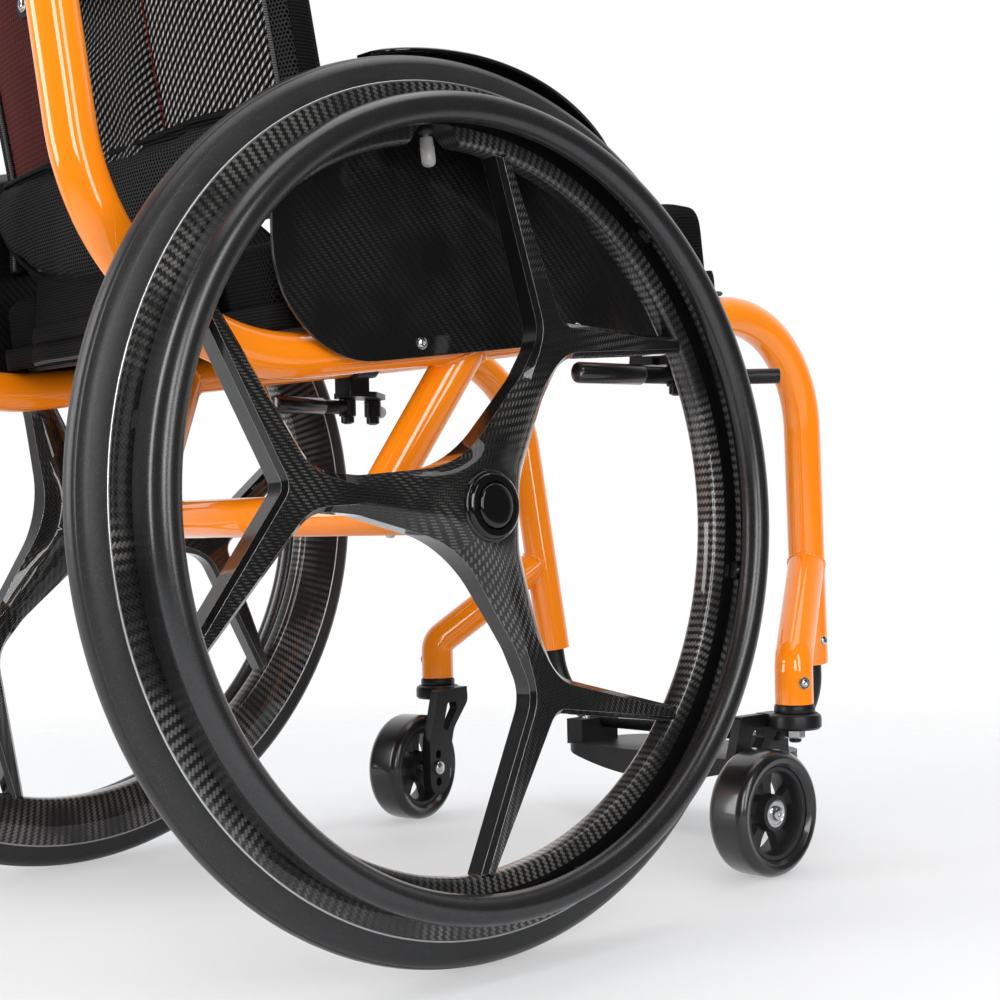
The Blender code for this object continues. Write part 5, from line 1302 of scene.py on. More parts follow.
def screw(name, point, facing, head, washer=0.0):
    """A button head screw with a hexagon socket, standing on a surface."""
    high = head * 0.62
    dome = [(head * sin(radians(d)), high * cos(radians(d))) for d in range(28, 91, 9)]
    profile = [(0, high * cos(radians(28))), *dome, (head, -0.0006), (0, -0.0006)]
    socket = turned([(0, high * 0.42), (head * 0.36, high * 0.42), (head * 0.36, high + 0.002),
                     (0, high + 0.002)], 6)
    shape = cut(turned(profile, 36), socket)
    if washer > 0:
        shape = together(shape, turned([(head * 0.8, -0.0002), (washer, -0.0002), (washer, 0.0005),
                                        (washer - 0.0004, 0.0009), (head * 0.8, 0.0009)], 36, closed=True))
    stand = Matrix.Translation(point) @ frame_along(facing)
    return piece(name, put(shape, stand), steel, slot="bright_steel", smooth=30)


def left_and_right(vector, side):
    """A place or direction of the left side, for the left (1) or the right side (-1)."""
    return Vector((vector[0], vector[1] * side, vector[2]))


for side, word in SIDES:
    leg_side = leg_point(0.1760)
    screw(f"{word}_foot_tube_screw", left_and_right(leg_side + Vector((0, 0.0152, 0)), side),
          (0, side, 0.1), 0.0042)
    housing = Vector((CASTER.x, CASTER.y, 0.1500))
    out = Vector((-0.35, 0.94, 0))
    screw(f"{word}_housing_screw", left_and_right(housing + out * 0.0154, side), left_and_right(out, side),
          0.0036, washer=0.0050)
    for x in (0.0, 0.030):
        screw(f"{word}_axle_screw_{round(x * 1000)}",
              left_and_right(Vector((0, 0.170 + x, AXLE_TUBE_Z - 0.0149)), side), (0, 0, -1), 0.0034)
print("frame screws placed")

# %% [markdown]
# ## Side guards
# A carbon sheet stands between the seat and each rear wheel and keeps sleeves off the tyre. Its upper
# edge carries a glossy fender lip that follows the tyre. The sheet is an outline, extruded, and the lip
# a strip swept along an arc of growing radius; it is widest in its middle. Two screws with spacers hold
# the guard to the rail.

# %% Guard sheet and fender lip
GUARD_Y = 0.2000
GUARD_WALL = 0.0025
FENDER_WALL = 0.0035
FENDER_WIDTH = 0.0450
FENDER_STEPS = 48


def fender_point(k, inset=0.0):
    share = k / FENDER_STEPS
    angle = radians(53.5 + 45 * share)
    radius = WHEEL_RADIUS + 0.0145 - 0.0060 * share - inset
    return radius * cos(angle), WHEEL_AXLE_Z + radius * sin(angle)


def fender_mesh():
    rows = []
    foot = GUARD_Y - GUARD_WALL / 2 - 0.0003
    bm = bmesh.new()
    for k in range(FENDER_STEPS + 1):
        share = max(0.0, sin(pi * k / FENDER_STEPS)) ** 0.5
        edge = foot + FENDER_WIDTH * (0.35 + 0.65 * share)
        outer, inner = fender_point(k), fender_point(k, FENDER_WALL)
        middle = fender_point(k, FENDER_WALL / 2)
        corners = ((outer, foot), (outer, edge - 0.0015), (middle, edge), (inner, edge - 0.0015),
                   (inner, foot))
        rows.append([bm.verts.new((x, y, z)) for (x, z), y in corners])
    return skin(bm, rows)


arc = [Vector(fender_point(k, FENDER_WALL / 2)) for k in range(FENDER_STEPS + 1)]
guard_outline = rounded_outline([(-0.1180, 0.5000, 0.0), (-0.1175, 0.3830, 0.075), (0.2680, 0.4290, 0.010),
                                 (0.2520, 0.4900, 0.040)], 14) + arc
for side, word in SIDES:
    sheet = plate(guard_outline, -GUARD_WALL / 2, GUARD_WALL / 2, side_view(GUARD_Y))
    guard = side_piece(word, "guard_sheet", for_side(sheet, side), guard_carbon, "frame", "side_guard",
                       "carbon_fibre", edge=0.0006)
    lay_weave(guard, flat_cloth())
    side_piece(word, "fender_lip", for_side(fender_mesh(), side), gloss_black, "frame", "side_guard",
               "carbon_fibre", smooth=50, edge=0.0010)
    for number, x in enumerate((0.0050, 0.1560), 1):
        seat = rail_point(x)
        spacer = rod((x, seat.y + FRAME_TUBE - 0.0005, seat.z), (x, GUARD_Y - 0.0010, seat.z), 0.0070, 36)
        side_piece(word, f"guard_spacer_{number}", for_side(spacer, side), moulded, "frame", "side_guard",
                   edge=0.0004)
        screw(f"{word}_guard_screw_{number}", (x, side * (GUARD_Y + GUARD_WALL / 2), seat.z), (0, side, 0),
              0.0046)
    print(word, "guard made")

# %% [markdown]
# ## Scissor brakes
# The brakes fold away under the seat. A clamp on the rail carries a plate with two pivots: the hand
# lever turns inwards on one, and swings a short bar out against the tyre on the other. Everything is
# milled or turned and anodised; only the hand lever's grip is glossy plastic.

# %% Brake clamp, bar and lever
BAR_PIVOT = Vector((0.2960, 0.2070, 0.3950))
LEVER_PIVOT = Vector((0.2630, 0.2040, 0.3950))
CLAMP_X = 0.2540
SHELF_LOW, SHELF_HIGH = 0.4033, 0.4083
BAR_TURN, LEVER_TURN = radians(43), pi + radians(9)


def clamp_mesh():
    middle = rail_point(CLAMP_X)
    tilt = Matrix.Translation(middle) @ Matrix.Rotation(-RAIL_SLOPE, 4, "Y")
    loop = rounded_outline([(-0.0185, -0.0185, 0.010), (0.0185, -0.0185, 0.010),
                            (0.0185, 0.0145, 0.003), (-0.0185, 0.0145, 0.003)], 8)
    ring = plate(loop, -0.012, 0.012, tilt @ frame_along((1, 0, 0)))
    post = block((CLAMP_X - 0.011, RAIL_Y - 0.006, 0.4034),
                 (CLAMP_X + 0.011, RAIL_Y + 0.0174, middle.z - 0.008))
    shelf = plate(rounded_outline([(CLAMP_X - 0.012, RAIL_Y - 0.008, 0.003),
                                   (CLAMP_X + 0.018, RAIL_Y - 0.008, 0.006),
                                   (BAR_PIVOT.x + 0.010, BAR_PIVOT.y - 0.008, 0.006),
                                   (BAR_PIVOT.x + 0.010, BAR_PIVOT.y + 0.010, 0.008),
                                   (LEVER_PIVOT.x - 0.010, LEVER_PIVOT.y + 0.010, 0.008)], 8),
                  SHELF_LOW, SHELF_HIGH)
    rail = rod(rail_point(CLAMP_X - 0.05), rail_point(CLAMP_X + 0.05), FRAME_TUBE + 0.0003, 56)
    return cut(join(post, shelf, ring), rail)


def eye_and_bar(angle, *bars):
    """An eye round a pivot with bars from it along X, swung by an angle about the pivot."""
    eye = turned([(0.0038, -0.0080), (0.0074, -0.0080), (0.0080, -0.0074), (0.0080, 0.0074),
                  (0.0074, 0.0080), (0.0038, 0.0080)], 48, closed=True)
    return put(together(eye, *bars), Matrix.Rotation(angle, 4, "Z"))


def bar_from(x0, x1, radius, edge=0.0008):
    return rod((x0, 0, 0), (x1, 0, 0), radius, 40, edge)


for side, word in SIDES:
    side_piece(word, "rail_clamp", for_side(clamp_mesh(), side), anodised, "frame", "brake_clamp",
               "black_anodised", edge=0.0007)
    for name, pivot, shape, body, finish, node in (
            ("brake_stop", BAR_PIVOT, eye_and_bar(BAR_TURN, bar_from(0.006, 0.057, 0.0060, 0.0012)),
             "bar", anodised, "brake_bar"),
            ("hand_lever", LEVER_PIVOT, eye_and_bar(LEVER_TURN, bar_from(0.006, 0.0350, 0.0066)),
             "lever", anodised, "brake_lever"),
            ("lever_grip", LEVER_PIVOT, put(bar_from(0.0345, 0.0970, 0.0080, 0.0022),
                                            Matrix.Rotation(LEVER_TURN, 4, "Z")),
             "lever", gloss_grip, "brake_lever")):
        place = Matrix.Translation((pivot.x, side * pivot.y, pivot.z))
        side_piece(word, name, put(for_side(shape, side), place), finish, body, node, smooth=35)
    for name, pivot in (("bar_pivot", BAR_PIVOT), ("lever_pivot", LEVER_PIVOT)):
        pin = turned([(0, -0.0153), (0.0030, -0.0153), (0.0046, -0.0146), (0.0062, -0.0138),
                      (0.0062, -0.0083), (0.0035, -0.0083), (0.0035, 0.0128), (0, 0.0128)], 40,
                     Matrix.Translation((pivot.x, side * pivot.y, pivot.z)))
        side_piece(word, f"{name}_bolt", pin, anodised, "frame", name, "black_anodised", edge=0.0003)
        screw(f"{word}_{name}_head", (pivot.x, side * pivot.y, SHELF_HIGH), (0, 0, 1), 0.0050)
    print(word, "brake made")

# %% [markdown]
# ## Foot tube and footplate
# A U-shaped tube slides into both legs, and the footplate hangs on it by two lugs. The plate is moulded,
# with a boat-shaped underside that is deepest in the middle. It is an outline with round corners, cut
# from below by the hull's curve.

# %% Foot tube and plate
FOOT_TUBE_Z = 0.0905
PLATE_LOW, PLATE_HIGH = 0.0425, 0.0695


def foot_path():
    top = LEG_FOOT - LEG_AXIS * 0.0580
    corner = leg_point(FOOT_TUBE_Z)
    flip = Vector((1, -1, 1))
    return bent_path([top, corner, corner * flip, top * flip], [0.0600, 0.0600], radians(3))


def footplate_mesh():
    outline = rounded_outline([(0.4480, -0.1140, 0.0180), (0.5560, -0.1049, 0.0400),
                               (0.5560, 0.1049, 0.0400), (0.4480, 0.1140, 0.0180)], 12)
    hull = [(y, PLATE_HIGH - (0.0250 - 0.0200 * min(1.0, (y / 0.1140) ** 2)))
            for y in (0.118 * (1 - k / 20) for k in range(41))]
    below = [(0.118, 0.030), *hull, (-0.118, 0.030)]
    across = Matrix(((0, 0, 1, 0), (1, 0, 0, 0), (0, 1, 0, 0), (0, 0, 0, 1)))
    tray = cut(plate(outline, PLATE_LOW, PLATE_HIGH), plate(below, 0.438, 0.566, across))
    front = leg_point(FOOT_TUBE_Z).x + 0.0155
    for low, high in ((0.095, 0.115), (-0.115, -0.095)):
        tray = join(tray, block((0.4570, low, 0.0675), (front, high, 0.0915)))
    return cut(tray, swept(foot_path(), 0.0097, 32))


piece("foot_tube_bent", swept(foot_path(), 0.0095, 40), anodised, "frame", ["foot_tube"], "black_anodised",
      smooth=50)
piece("footplate_moulding", footplate_mesh(), moulded, "frame", ["footplate"], "black_plastic",
      edge=0.0030, steps=4)
for side, word in SIDES:
    screw(f"{word}_footplate_screw", (0.4740, side * 0.105, 0.0915), (0, 0, 1), 0.0040)
print("foot tube and footplate made")

# %% [markdown]
# ## Bracket of the backrest
# A cross bar is clamped to both uprights, and two short arms carry the plate that the backrest's shell is
# screwed to. It is joined from bars and sleeves by Booleans, because the clamps must really go round the
# tubes, and its edges are broken afterwards.

# %% Cross bar, clamps and plate
BACK_X = -0.0850
BACK_LEVEL = 0.5650
BACK_HALF = 0.1940
BAR_Z = 0.6900


def back_depth(y, z=BACK_LEVEL):
    """How far the backrest's rear face lies behind BACK_X: it is bowed, and leans back above a level."""
    return 0.0200 * (1 - (y / BACK_HALF) ** 2) + max(0.0, z - BACK_LEVEL) * tan(radians(11))


def bracket_mesh():
    flip = Vector((1, -1, 1))
    end, low, high = upright_point(BAR_Z), upright_point(BAR_Z - 0.015), upright_point(BAR_Z + 0.015)
    plate_x = BACK_X - back_depth(0.0, BAR_Z + 0.028) - 0.0003 - 0.0040
    bar = rod(end * flip, end, 0.0110, 40)
    over = (high - low) * 0.5
    parts, holes = [], []
    for side in (Vector((1, 1, 1)), flip):
        arm = Vector((0, side.y * 0.0550, BAR_Z))
        parts += [rod(arm + Vector((end.x, 0, 0)), arm + Vector((plate_x + 0.001, 0, 0)), 0.0090, 40),
                  rod(low * side, high * side, FRAME_TUBE + 0.0040, 56)]
        holes.append(rod((low - over) * side, (high + over) * side, FRAME_TUBE + 0.0003, 56))
    corners = rounded_outline([(-0.080, -0.028, 0.008), (0.080, -0.028, 0.008), (0.080, 0.028, 0.008),
                               (-0.080, 0.028, 0.008)], 6)
    face = Matrix.Translation((plate_x, 0, BAR_Z)) @ frame_along((1, 0, 0))
    return cut(join(bar, plate(corners, 0, 0.0040, face), *parts), *holes)


piece("back_cross_bar", bracket_mesh(), anodised, "frame", ["back_bracket"], "black_anodised", edge=0.0007)
for side, word in SIDES:
    for number, z in enumerate((-0.018, 0.018), 1):
        screw(f"{word}_shell_screw_{number}", (-0.1355 - 0.0040, side * 0.070, BAR_Z + z), (-1, 0, 0),
              0.0048, washer=0.0060)
    clamp = upright_point(BAR_Z) + Vector((-0.0195, 0, 0))
    screw(f"{word}_upright_clamp_screw", left_and_right(clamp, side), (-1, 0, 0), 0.0040)
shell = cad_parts["back_shell"]
shell.data.materials.clear()
shell.data.materials.append(guard_carbon.material)
lay_weave(shell, flat_cloth())
print("bracket made and", shell.name, "kept")

# %% [markdown]
# ## Stuffed forms
# A cushion is foam pressed into a tight cover: it bulges where nothing holds it and keeps its edges where
# the cover is sewn. Blender's Cloth does this with an inner pressure. The form starts a little too
# small, is rebuilt from even small faces, swells for twenty frames, and no point may move farther than a
# cap. Where the form rests on something it is held still.

# %% Swell a closed form
SWELL_FRAMES = 20
HELD_PLAY = 0.0003


def swollen(bm, voxel, pressure, cap, held):
    """Lets a closed form swell as stuffed cloth; held(point) is True where it must stay in place."""
    mesh = mesh_from(bm)
    thing = new_object("step", mesh)
    remesh = thing.modifiers.new("remesh", "REMESH")
    remesh.mode = "VOXEL"
    remesh.voxel_size = voxel
    bpy.context.view_layer.update()
    even = bpy.data.meshes.new_from_object(thing.evaluated_get(bpy.context.evaluated_depsgraph_get()))
    thing.modifiers.clear()
    thing.data = even
    start = [v.co.copy() for v in even.vertices]
    cloth = thing.modifiers.new("cloth", "CLOTH")
    cloth.settings.use_pressure = True
    cloth.settings.uniform_pressure_force = pressure
    cloth.settings.effector_weights.gravity = 0.0
    cloth.point_cache.frame_end = SWELL_FRAMES
    for number in range(1, SWELL_FRAMES + 1):
        bpy.context.scene.frame_set(number)
    after = thing.evaluated_get(bpy.context.evaluated_depsgraph_get()).to_mesh()
    ends = [v.co.copy() for v in after.vertices]
    thing.modifiers.clear()
    bpy.context.scene.frame_set(1)
    for v, before, end in zip(even.vertices, start, ends):
        move = end - before
        limit = HELD_PLAY if held(before) else cap
        v.co = before + move * min(1.0, limit / max(move.length, 1e-9))
    result = bmesh.new()
    result.from_mesh(even)
    bpy.data.objects.remove(thing, do_unlink=True)
    bpy.data.meshes.remove(mesh)
    bpy.data.meshes.remove(even)
    bmesh.ops.smooth_vert(result, verts=result.verts, factor=0.5, use_axis_x=True, use_axis_y=True,
                          use_axis_z=True)
    return result


def soft_piece(name, bm, finish, stands_for=(), levels=0, weave=None):
    """A piece of cloth on the frame, divided finer by so many levels."""
    thing = piece(name, bm, finish, "frame", stands_for, "mesh_cloth", smooth=180)
    if levels > 0:
        finer = thing.modifiers.new("finer", "SUBSURF")
        finer.levels = levels
        finer.render_levels = levels
    lay_weave(thing, weave or flat_cloth())
    return thing


print("stuffed forms", "will swell")

# %% [markdown]
# ## Seat cushion and sling
# The cushion is a foam block under spacer mesh, thicker at the front, and it lies on a sling that is
# stretched between the rails. The sling is flat cloth with a grey webbing hem. The cushion swells by
# simulation, and a band of webbing round its foot follows the outline of its cover.

# %% Cushion and sling
SEAT = Matrix.Translation((0, 0, rail_point(0.0).z)) @ Matrix.Rotation(-RAIL_SLOPE, 4, "Y")
SEAT_HALF = 0.188
SEAT_FRONT, CUSHION_REAR, CUSHION_LENGTH = 0.3480, -0.1000, 0.4480
CUSHION_LOW = FRAME_TUBE + 0.0040 + 0.0006
CUSHION_CORNER = 0.015


def cushion_outline(inset):
    return rounded_outline([(CUSHION_REAR + inset, -SEAT_HALF + inset, CUSHION_CORNER),
                            (SEAT_FRONT - inset, -SEAT_HALF + inset, CUSHION_CORNER),
                            (SEAT_FRONT - inset, SEAT_HALF - inset, CUSHION_CORNER),
                            (CUSHION_REAR + inset, SEAT_HALF - inset, CUSHION_CORNER)], 6)


def cushion_height(x, share):
    """Height at a share of the way from the cushion's foot to its top, which rises to the front."""
    top = CUSHION_LOW + 0.0510 + 0.0200 * (x - CUSHION_REAR) / CUSHION_LENGTH
    return CUSHION_LOW + (top - CUSHION_LOW) * share


def cushion_form():
    """The foam block: a flat foot, upright sides and a top that slopes with the seat."""
    bm = bmesh.new()
    loops = []
    for inset, share in ((0.003, 0.0), (0.0010, 0.15), (0.0010, 0.86), (0.0040, 1.0)):
        loops.append([bm.verts.new((p.x, p.y, cushion_height(p.x, share))) for p in cushion_outline(inset)])
    return skin(bm, loops)


cushion_bm = put(swollen(cushion_form(), 0.006, 4.0, 0.006, lambda p: p.z < CUSHION_LOW + 0.003), SEAT)
cushion = soft_piece("seat_cushion_cover", cushion_bm, cushion_mesh, ["seat_cushion"], 1,
                     flat_cloth(SEAT))


band_path = [Vector((p.x, p.y, cushion_height(p.x, 0.12))) for p in cushion_outline(0.0018)]
band = put(swept(band_path, 0.0085, 12, closed=True, squeeze=0.16, side=(0, 0, 1)), SEAT)
soft_piece("cushion_foot_band", band, webbing, weave=flat_cloth(SEAT))
print("cushion", [round(v, 3) for v in cushion.dimensions])

SLING_LOW = FRAME_TUBE + 0.0003
sling_outline = rounded_outline([(-0.0740, -SEAT_HALF, 0.008), (SEAT_FRONT, -SEAT_HALF, 0.012),
                                 (SEAT_FRONT, SEAT_HALF, 0.012), (-0.0740, SEAT_HALF, 0.008)], 6)
sling = soft_piece("seat_sling_cloth", plate(sling_outline, SLING_LOW + 0.0004, SLING_LOW + 0.0034, SEAT),
                   webbing, ["seat_sling"], weave=flat_cloth(SEAT))
hem_path = [Vector((p.x, p.y, SLING_LOW + 0.0020)) for p in sling_outline]
hem_cord = put(swept(hem_path, 0.0021, 12, closed=True, squeeze=1.6, side=(0, 0, 1)), SEAT)
hem = soft_piece("sling_hem", hem_cord, piping, weave=flat_cloth(SEAT))
print("sling", [round(v, 3) for v in sling.dimensions])

# %% [markdown]
# ## Backrest
# From behind, the cover is three upright panels of mesh, joined by seams with red thread, between two
# edgings with piping. The middle panel is slack and folds at its seams. Below it a padded lumbar band
# runs across, deeper in its middle, and a tail of cloth with two straps hangs from it. The panels are
# thin slabs laid on the bowed rear face of the back; the band and the front pad are swollen.

# %% Panels of the rear cover
red_lined_mesh = holed_mesh_finish("spacer_mesh_red_lining", 0.0044, (0.042, 0.039, 0.037),
                                   (0.11, 0.003, 0.002))
slack_mesh = ribbed_mesh_finish("spacer_mesh_slack", 0.0050, (0.26, 0.25, 0.24), grey(0.001), -0.62)
BACK_TOP = 0.7790


def rear_point(y, z, proud=0.0):
    return Vector((BACK_X - back_depth(y, z) - proud, y, z))


def slab(grid):
    """A closed mesh from rows of pairs of points, one of each pair on either face of the slab."""
    bm = bmesh.new()
    grid = [[[bm.verts.new(point) for point in pair] for pair in line] for line in grid]
    for line, ahead in zip(grid, grid[1:]):
        for a, b, c, d in zip(line, ahead, ahead[1:], line[1:]):
            bm.faces.new((a[0], b[0], c[0], d[0]))
            bm.faces.new((a[1], d[1], c[1], b[1]))
    border = [line[0] for line in grid] + grid[-1][1:]
    border += [line[-1] for line in grid[-2::-1]] + grid[0][-2:0:-1]
    for first, second in zip(border, border[1:] + border[:1]):
        bm.faces.new((first[0], first[1], second[1], second[0]))
    return bm


def laid_panel(y0, y1, bottom, top, proud, wall, columns=36, rows=44):
    """A slab on the rear face; bottom, top and proud are functions of the place across or of y and z."""
    grid = []
    for i in range(columns + 1):
        y = y0 + (y1 - y0) * i / columns
        low, high = bottom(y), top(y)
        heights = [low + (high - low) * j / rows for j in range(rows + 1)]
        grid.append([(rear_point(y, z, proud(y, z)), rear_point(y, z, proud(y, z) - wall)) for z in heights])
    return slab(grid)


def fade(value, low, high):
    share = min(1.0, max(0.0, (value - low) / (high - low)))
    return share * share * (3 - 2 * share)


def slack_fold(y, z):
    """The middle panel stands proud between its seams, less and less towards the bracket."""
    share = 1 - (y / 0.060) ** 2
    wave = 0.0016 * sin(y * 120 + z * 22) + 0.0010 * sin(y * 60 - z * 70)
    return 0.0004 + max(0.0, share) ** 0.7 * (0.0095 + wave) * (1 - fade(z, 0.600, 0.655))


def side_swell(y, z):
    share = sin(pi * min(1.0, max(0.0, (abs(y) - 0.060) / 0.118)))
    return 0.0003 + 0.0022 * share ** 0.6 * (1 - 0.8 * fade(z, 0.64, 0.66))


def band_top(y):
    return 0.556 + 0.006 * min(1.0, (abs(y) / 0.10)) ** 2


for name, y0, y1, swell, finish in (("middle", -0.060, 0.060, slack_fold, slack_mesh),
                                    ("right", -0.178, -0.0595, side_swell, ribbed_mesh),
                                    ("left", 0.0595, 0.178, side_swell, red_lined_mesh)):
    cloth = laid_panel(y0, y1, lambda y: band_top(y) - 0.012, lambda y: BACK_TOP, swell, 0.0030)
    panel = soft_piece(f"back_{name}_panel", cloth, finish, ["back_cover"])
print("three panels laid")

# %% Edgings, piping, hems and red seams


def along(start, length, steps):
    """Evenly spaced numbers from start over a length."""
    return [start + length * k / steps for k in range(steps + 1)]


def laid_cord(points, radius, sides=14):
    return swept(points, radius, sides)


for side, word in SIDES:
    heights = along(0.492, 0.286, 60)
    strip = laid_panel(*sorted((side * 0.1765, side * 0.1935)), lambda y: 0.491, lambda y: BACK_TOP,
                       lambda y, z: 0.0030, 0.0085, 6, 60)
    soft_piece(f"{word}_back_edging", strip, fine_mesh, ["back_cover"], 1)
    roll = [Vector((BACK_X - back_depth(BACK_HALF, z) + 0.0090, side * 0.1915, z)) for z in heights]
    soft_piece(f"{word}_back_side_roll", swept(roll, 0.0045, 16, squeeze=2.2), webbing, ["back_cover"])
    soft_piece(f"{word}_back_piping",
               laid_cord([rear_point(side * 0.1775, z, 0.0034) for z in heights], 0.0015), piping)
    seam = [0.548 + 0.100 * k / 2 / 26 for k in range(53)]
    stitches = [laid_cord([rear_point(side * (0.0596 + 0.0003 * (k % 2)), seam[k], 0.0012),
                           rear_point(side * 0.0598, seam[k] + 0.0016, 0.0016),
                           rear_point(side * 0.0600, seam[k] + 0.0030, 0.0011)], 0.00055, 8)
                for k in range(0, 53, 2)]
    soft_piece(f"{word}_back_red_seam", together(*stitches), red_thread)
hem_points = [rear_point(y, band_top(y) - 0.003, 0.0052) for y in along(0.176, -0.352, 80)]
soft_piece("back_panel_hem", swept(hem_points, 0.0048, 14, squeeze=0.42, side=(0, 0, 1)), webbing,
           ["back_cover"])
print("edgings, piping and seams sewn")

# %% Lumbar band with its tail and straps


def band_low(y):
    return 0.463 + 0.048 * (abs(y) / 0.180) ** 2.4


def band_proud(y, z):
    middle = (band_low(y) + band_top(y)) / 2
    half = (band_top(y) - band_low(y)) / 2
    share = max(0.0, 1 - ((z - middle) / half) ** 2)
    return 0.0060 + 0.0080 * share ** 0.6 + 0.0007 * sin(y * 95 + z * 60)


band_bm = laid_panel(-0.189, 0.189, lambda y: band_low(y) + 0.002, lambda y: band_top(y) - 0.003, band_proud,
                     0.0080, 60, 20)
lumbar = soft_piece("lumbar_band", swollen(band_bm, 0.0045, 3.0, 0.003, lambda p: p.x > -0.088),
                    fine_mesh, ["back_cover"], 1)


for name, level in (("lumbar_top_piping", lambda y: band_top(y) - 0.002),
                    ("lumbar_foot_piping", lambda y: band_low(y) + 0.001)):
    points = [rear_point(y, level(y), 0.0064) for y in along(0.188, -0.376, 90)]
    soft_piece(name, laid_cord(points, 0.0024), webbing)


def tail_proud(y, z):
    loose = fade(0.475 - z, 0.0, 0.06)
    return 0.0080 + 0.0016 * sin(y * 75 + 0.6) * loose + 0.0030 * loose


tail_cloth = laid_panel(-0.118, 0.118, lambda y: 0.4125, lambda y: 0.478, tail_proud, 0.0020, 60, 18)
tail = soft_piece("back_tail", tail_cloth, webbing, ["back_cover"])
for number, (low, high, out) in enumerate(((0.4270, 0.4400, 0.0028), (0.4135, 0.4235, 0.0030)), 1):
    strap = laid_panel(-0.1175, 0.1175, lambda y: low, lambda y: high, lambda y, z: tail_proud(y, z) + out,
                       0.0024, 60, 6)
    soft_piece(f"tail_strap_{number}", strap, webbing, levels=1)
hem_points = [rear_point(y, 0.4130, tail_proud(y, 0.413) - 0.0008) for y in along(0.117, -0.234, 60)]
soft_piece("tail_hem", laid_cord(hem_points, 0.0016), piping)
print("lumbar band and tail made")

# %% Front pad
PAD_HALF, PAD_LOW, PAD_HIGH, PAD_ROUND = 0.1890, 0.4945, 0.7755, 0.016
PAD_COLUMNS, PAD_ROWS = 40, 44
PIPING_X = BACK_X + 0.0140


def pad_form():
    """The foam pad in front of the shell, a little thinner than it ends up."""
    front = BACK_X + 0.0060 + 0.0025 + 0.0006
    grid = []
    for y in along(-PAD_HALF, 0.378, PAD_COLUMNS):
        line = []
        for z in along(PAD_LOW, 0.281, PAD_ROWS):
            near_edge = min((PAD_HALF - abs(y)) / PAD_ROUND, (z - PAD_LOW) / PAD_ROUND,
                            (PAD_HIGH - z) / PAD_ROUND, 1.0)
            full = sqrt(max(0.0, 1 - (1 - max(0.0, near_edge)) ** 2))
            base = front - back_depth(y, z)
            swell = 0.0060 + 0.0095 * (1 - (y / 0.19) ** 2)
            line.append(((base + 0.0005, y, z), (base + 0.0025 + swell * full, y, z)))
        grid.append(line)
    return slab(grid)


pad = soft_piece("back_front_pad", swollen(pad_form(), 0.0050, 4.0, 0.0035, lambda p: False),
                 fine_mesh, ["back_pad"], 1)
pad_outline = rounded_outline([(-0.1915, 0.4925, 0.010), (0.1915, 0.4925, 0.010),
                               (0.1915, 0.7778, 0.010), (-0.1915, 0.7778, 0.010)], 6)
pad_edge = [Vector((PIPING_X - back_depth(p.x, p.y), p.x, p.y)) for p in pad_outline]
finer_edge = []
for first, second in zip(pad_edge, pad_edge[1:] + pad_edge[:1]):
    steps = max(1, round((second - first).length / 0.01))
    for k in range(steps):
        p = first.lerp(second, k / steps)
        p.x = PIPING_X - back_depth(p.y, p.z)
        finer_edge.append(p)
soft_piece("back_pad_piping", swept(finer_edge, 0.0020, 12, closed=True, side=(1, 0, 0)), piping)
print("front pad", [round(v, 3) for v in pad.dimensions])

# %% [markdown]
# ## Floor, backdrop and light
# The chair stands in a white studio. The camera sees a white world, while the light that falls on the
# chair comes from a large soft box above and three tall ones, whose reflections draw the long bright
# lines on the tubes. The floor is pale, keeps the chair's shadow, and fades out with distance, so that
# it has no horizon.

# %% Floor and world
LIGHT_ALL_ROUND = 0.70
floor_finish = Finish("studio_floor", grey(0.93), 0.6)
radius_from_chair = floor_finish.node("ShaderNodeVectorMath", {"operation": "LENGTH"},
                                      {0: floor_finish.place()}, "Value")
floor_finish.set("Alpha", (1 - radius_from_chair.between(0.75, 1.75)) * 0.5)
floor_mesh = mesh_from(plate([(-3, -3), (3, -3), (3, 3), (-3, 3)], -0.02, -0.0005), "studio_floor")
floor_mesh.materials.append(floor_finish.material)
floor = new_object("studio_floor", floor_mesh)

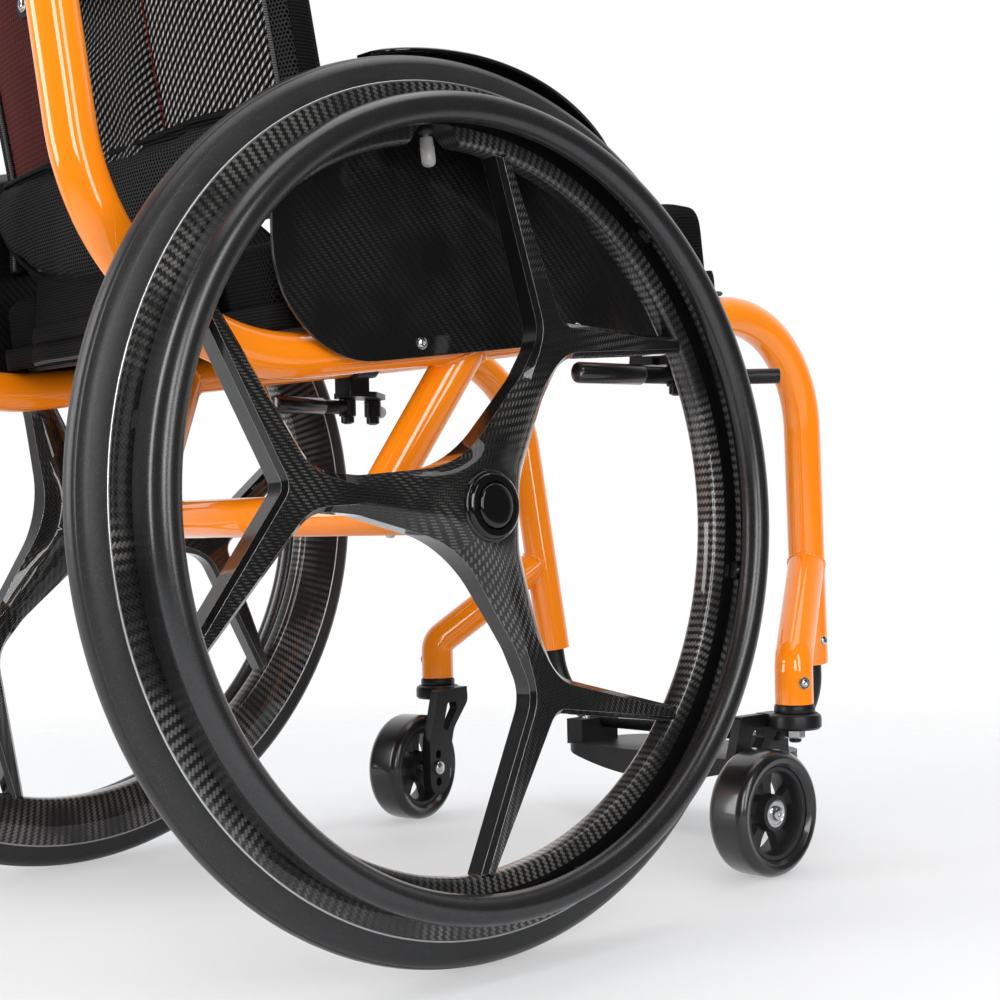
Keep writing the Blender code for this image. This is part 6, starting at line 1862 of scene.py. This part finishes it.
world = bpy.data.worlds.new("white studio")
bpy.context.scene.world = world
world.use_nodes = True
sky = Nodes(world.node_tree)
sky.tree.nodes.clear()
seen = sky.node("ShaderNodeBackground", {}, {"Color": (1, 1, 1, 1), "Strength": 1.0})
around = sky.node("ShaderNodeBackground", {}, {"Color": (0.92, 0.95, 1.0, 1), "Strength": LIGHT_ALL_ROUND})
room = sky.node("ShaderNodeBackground", {}, {"Color": (*grey(0.04), 1)})
direction = sky.node("ShaderNodeTexCoord", {}, {}, "Generated")
toward_backdrop = sky.node("ShaderNodeVectorMath", {"operation": "DOT_PRODUCT"},
                           {0: direction, 1: look}, "Value")
mirrored = sky.node("ShaderNodeMixShader", {}, {0: toward_backdrop.between(0.05, 0.75), 1: room, 2: seen})
path = sky.tree.nodes.new("ShaderNodeLightPath")
camera_ray, glossy, passing = [Signal(sky, path.outputs[f"Is {ray} Ray"])
                               for ray in ("Camera", "Glossy", "Transmission")]
choose = sky.node("ShaderNodeMixShader", {}, {0: glossy.largest(passing), 1: around, 2: mirrored})
last = sky.node("ShaderNodeMixShader", {}, {0: camera_ray, 1: choose, 2: seen})
sky.feed(sky.tree.nodes.new("ShaderNodeOutputWorld").inputs["Surface"], last)
bpy.context.scene.view_settings.view_transform = "Standard"
print("world seen white, light", LIGHT_ALL_ROUND)

# %% Lamps
LIT_POINT = Vector((0.10, 0.0, 0.35))
for name, place, width, height, power in (("overhead_box", (0.10, -0.10, 2.30), 2.2, 1.4, 18),
                                          ("left_strip", (-1.75, 0.95, 1.00), 0.80, 1.9, 30),
                                          ("right_strip", (-0.25, -2.30, 1.10), 0.50, 1.9, 17),
                                          ("camera_side_box", (-1.30, -2.05, 0.95), 0.55, 1.3, 16)):
    lamp_data = bpy.data.lights.new(name, "AREA")
    lamp_data.shape = "RECTANGLE"
    lamp_data.size, lamp_data.size_y = width, height
    lamp_data.energy = power
    lamp = new_object(name, lamp_data)
    lamp.matrix_world = Matrix.Translation(place) @ frame_along(Vector(place) - LIT_POINT)
print("four lamps set")
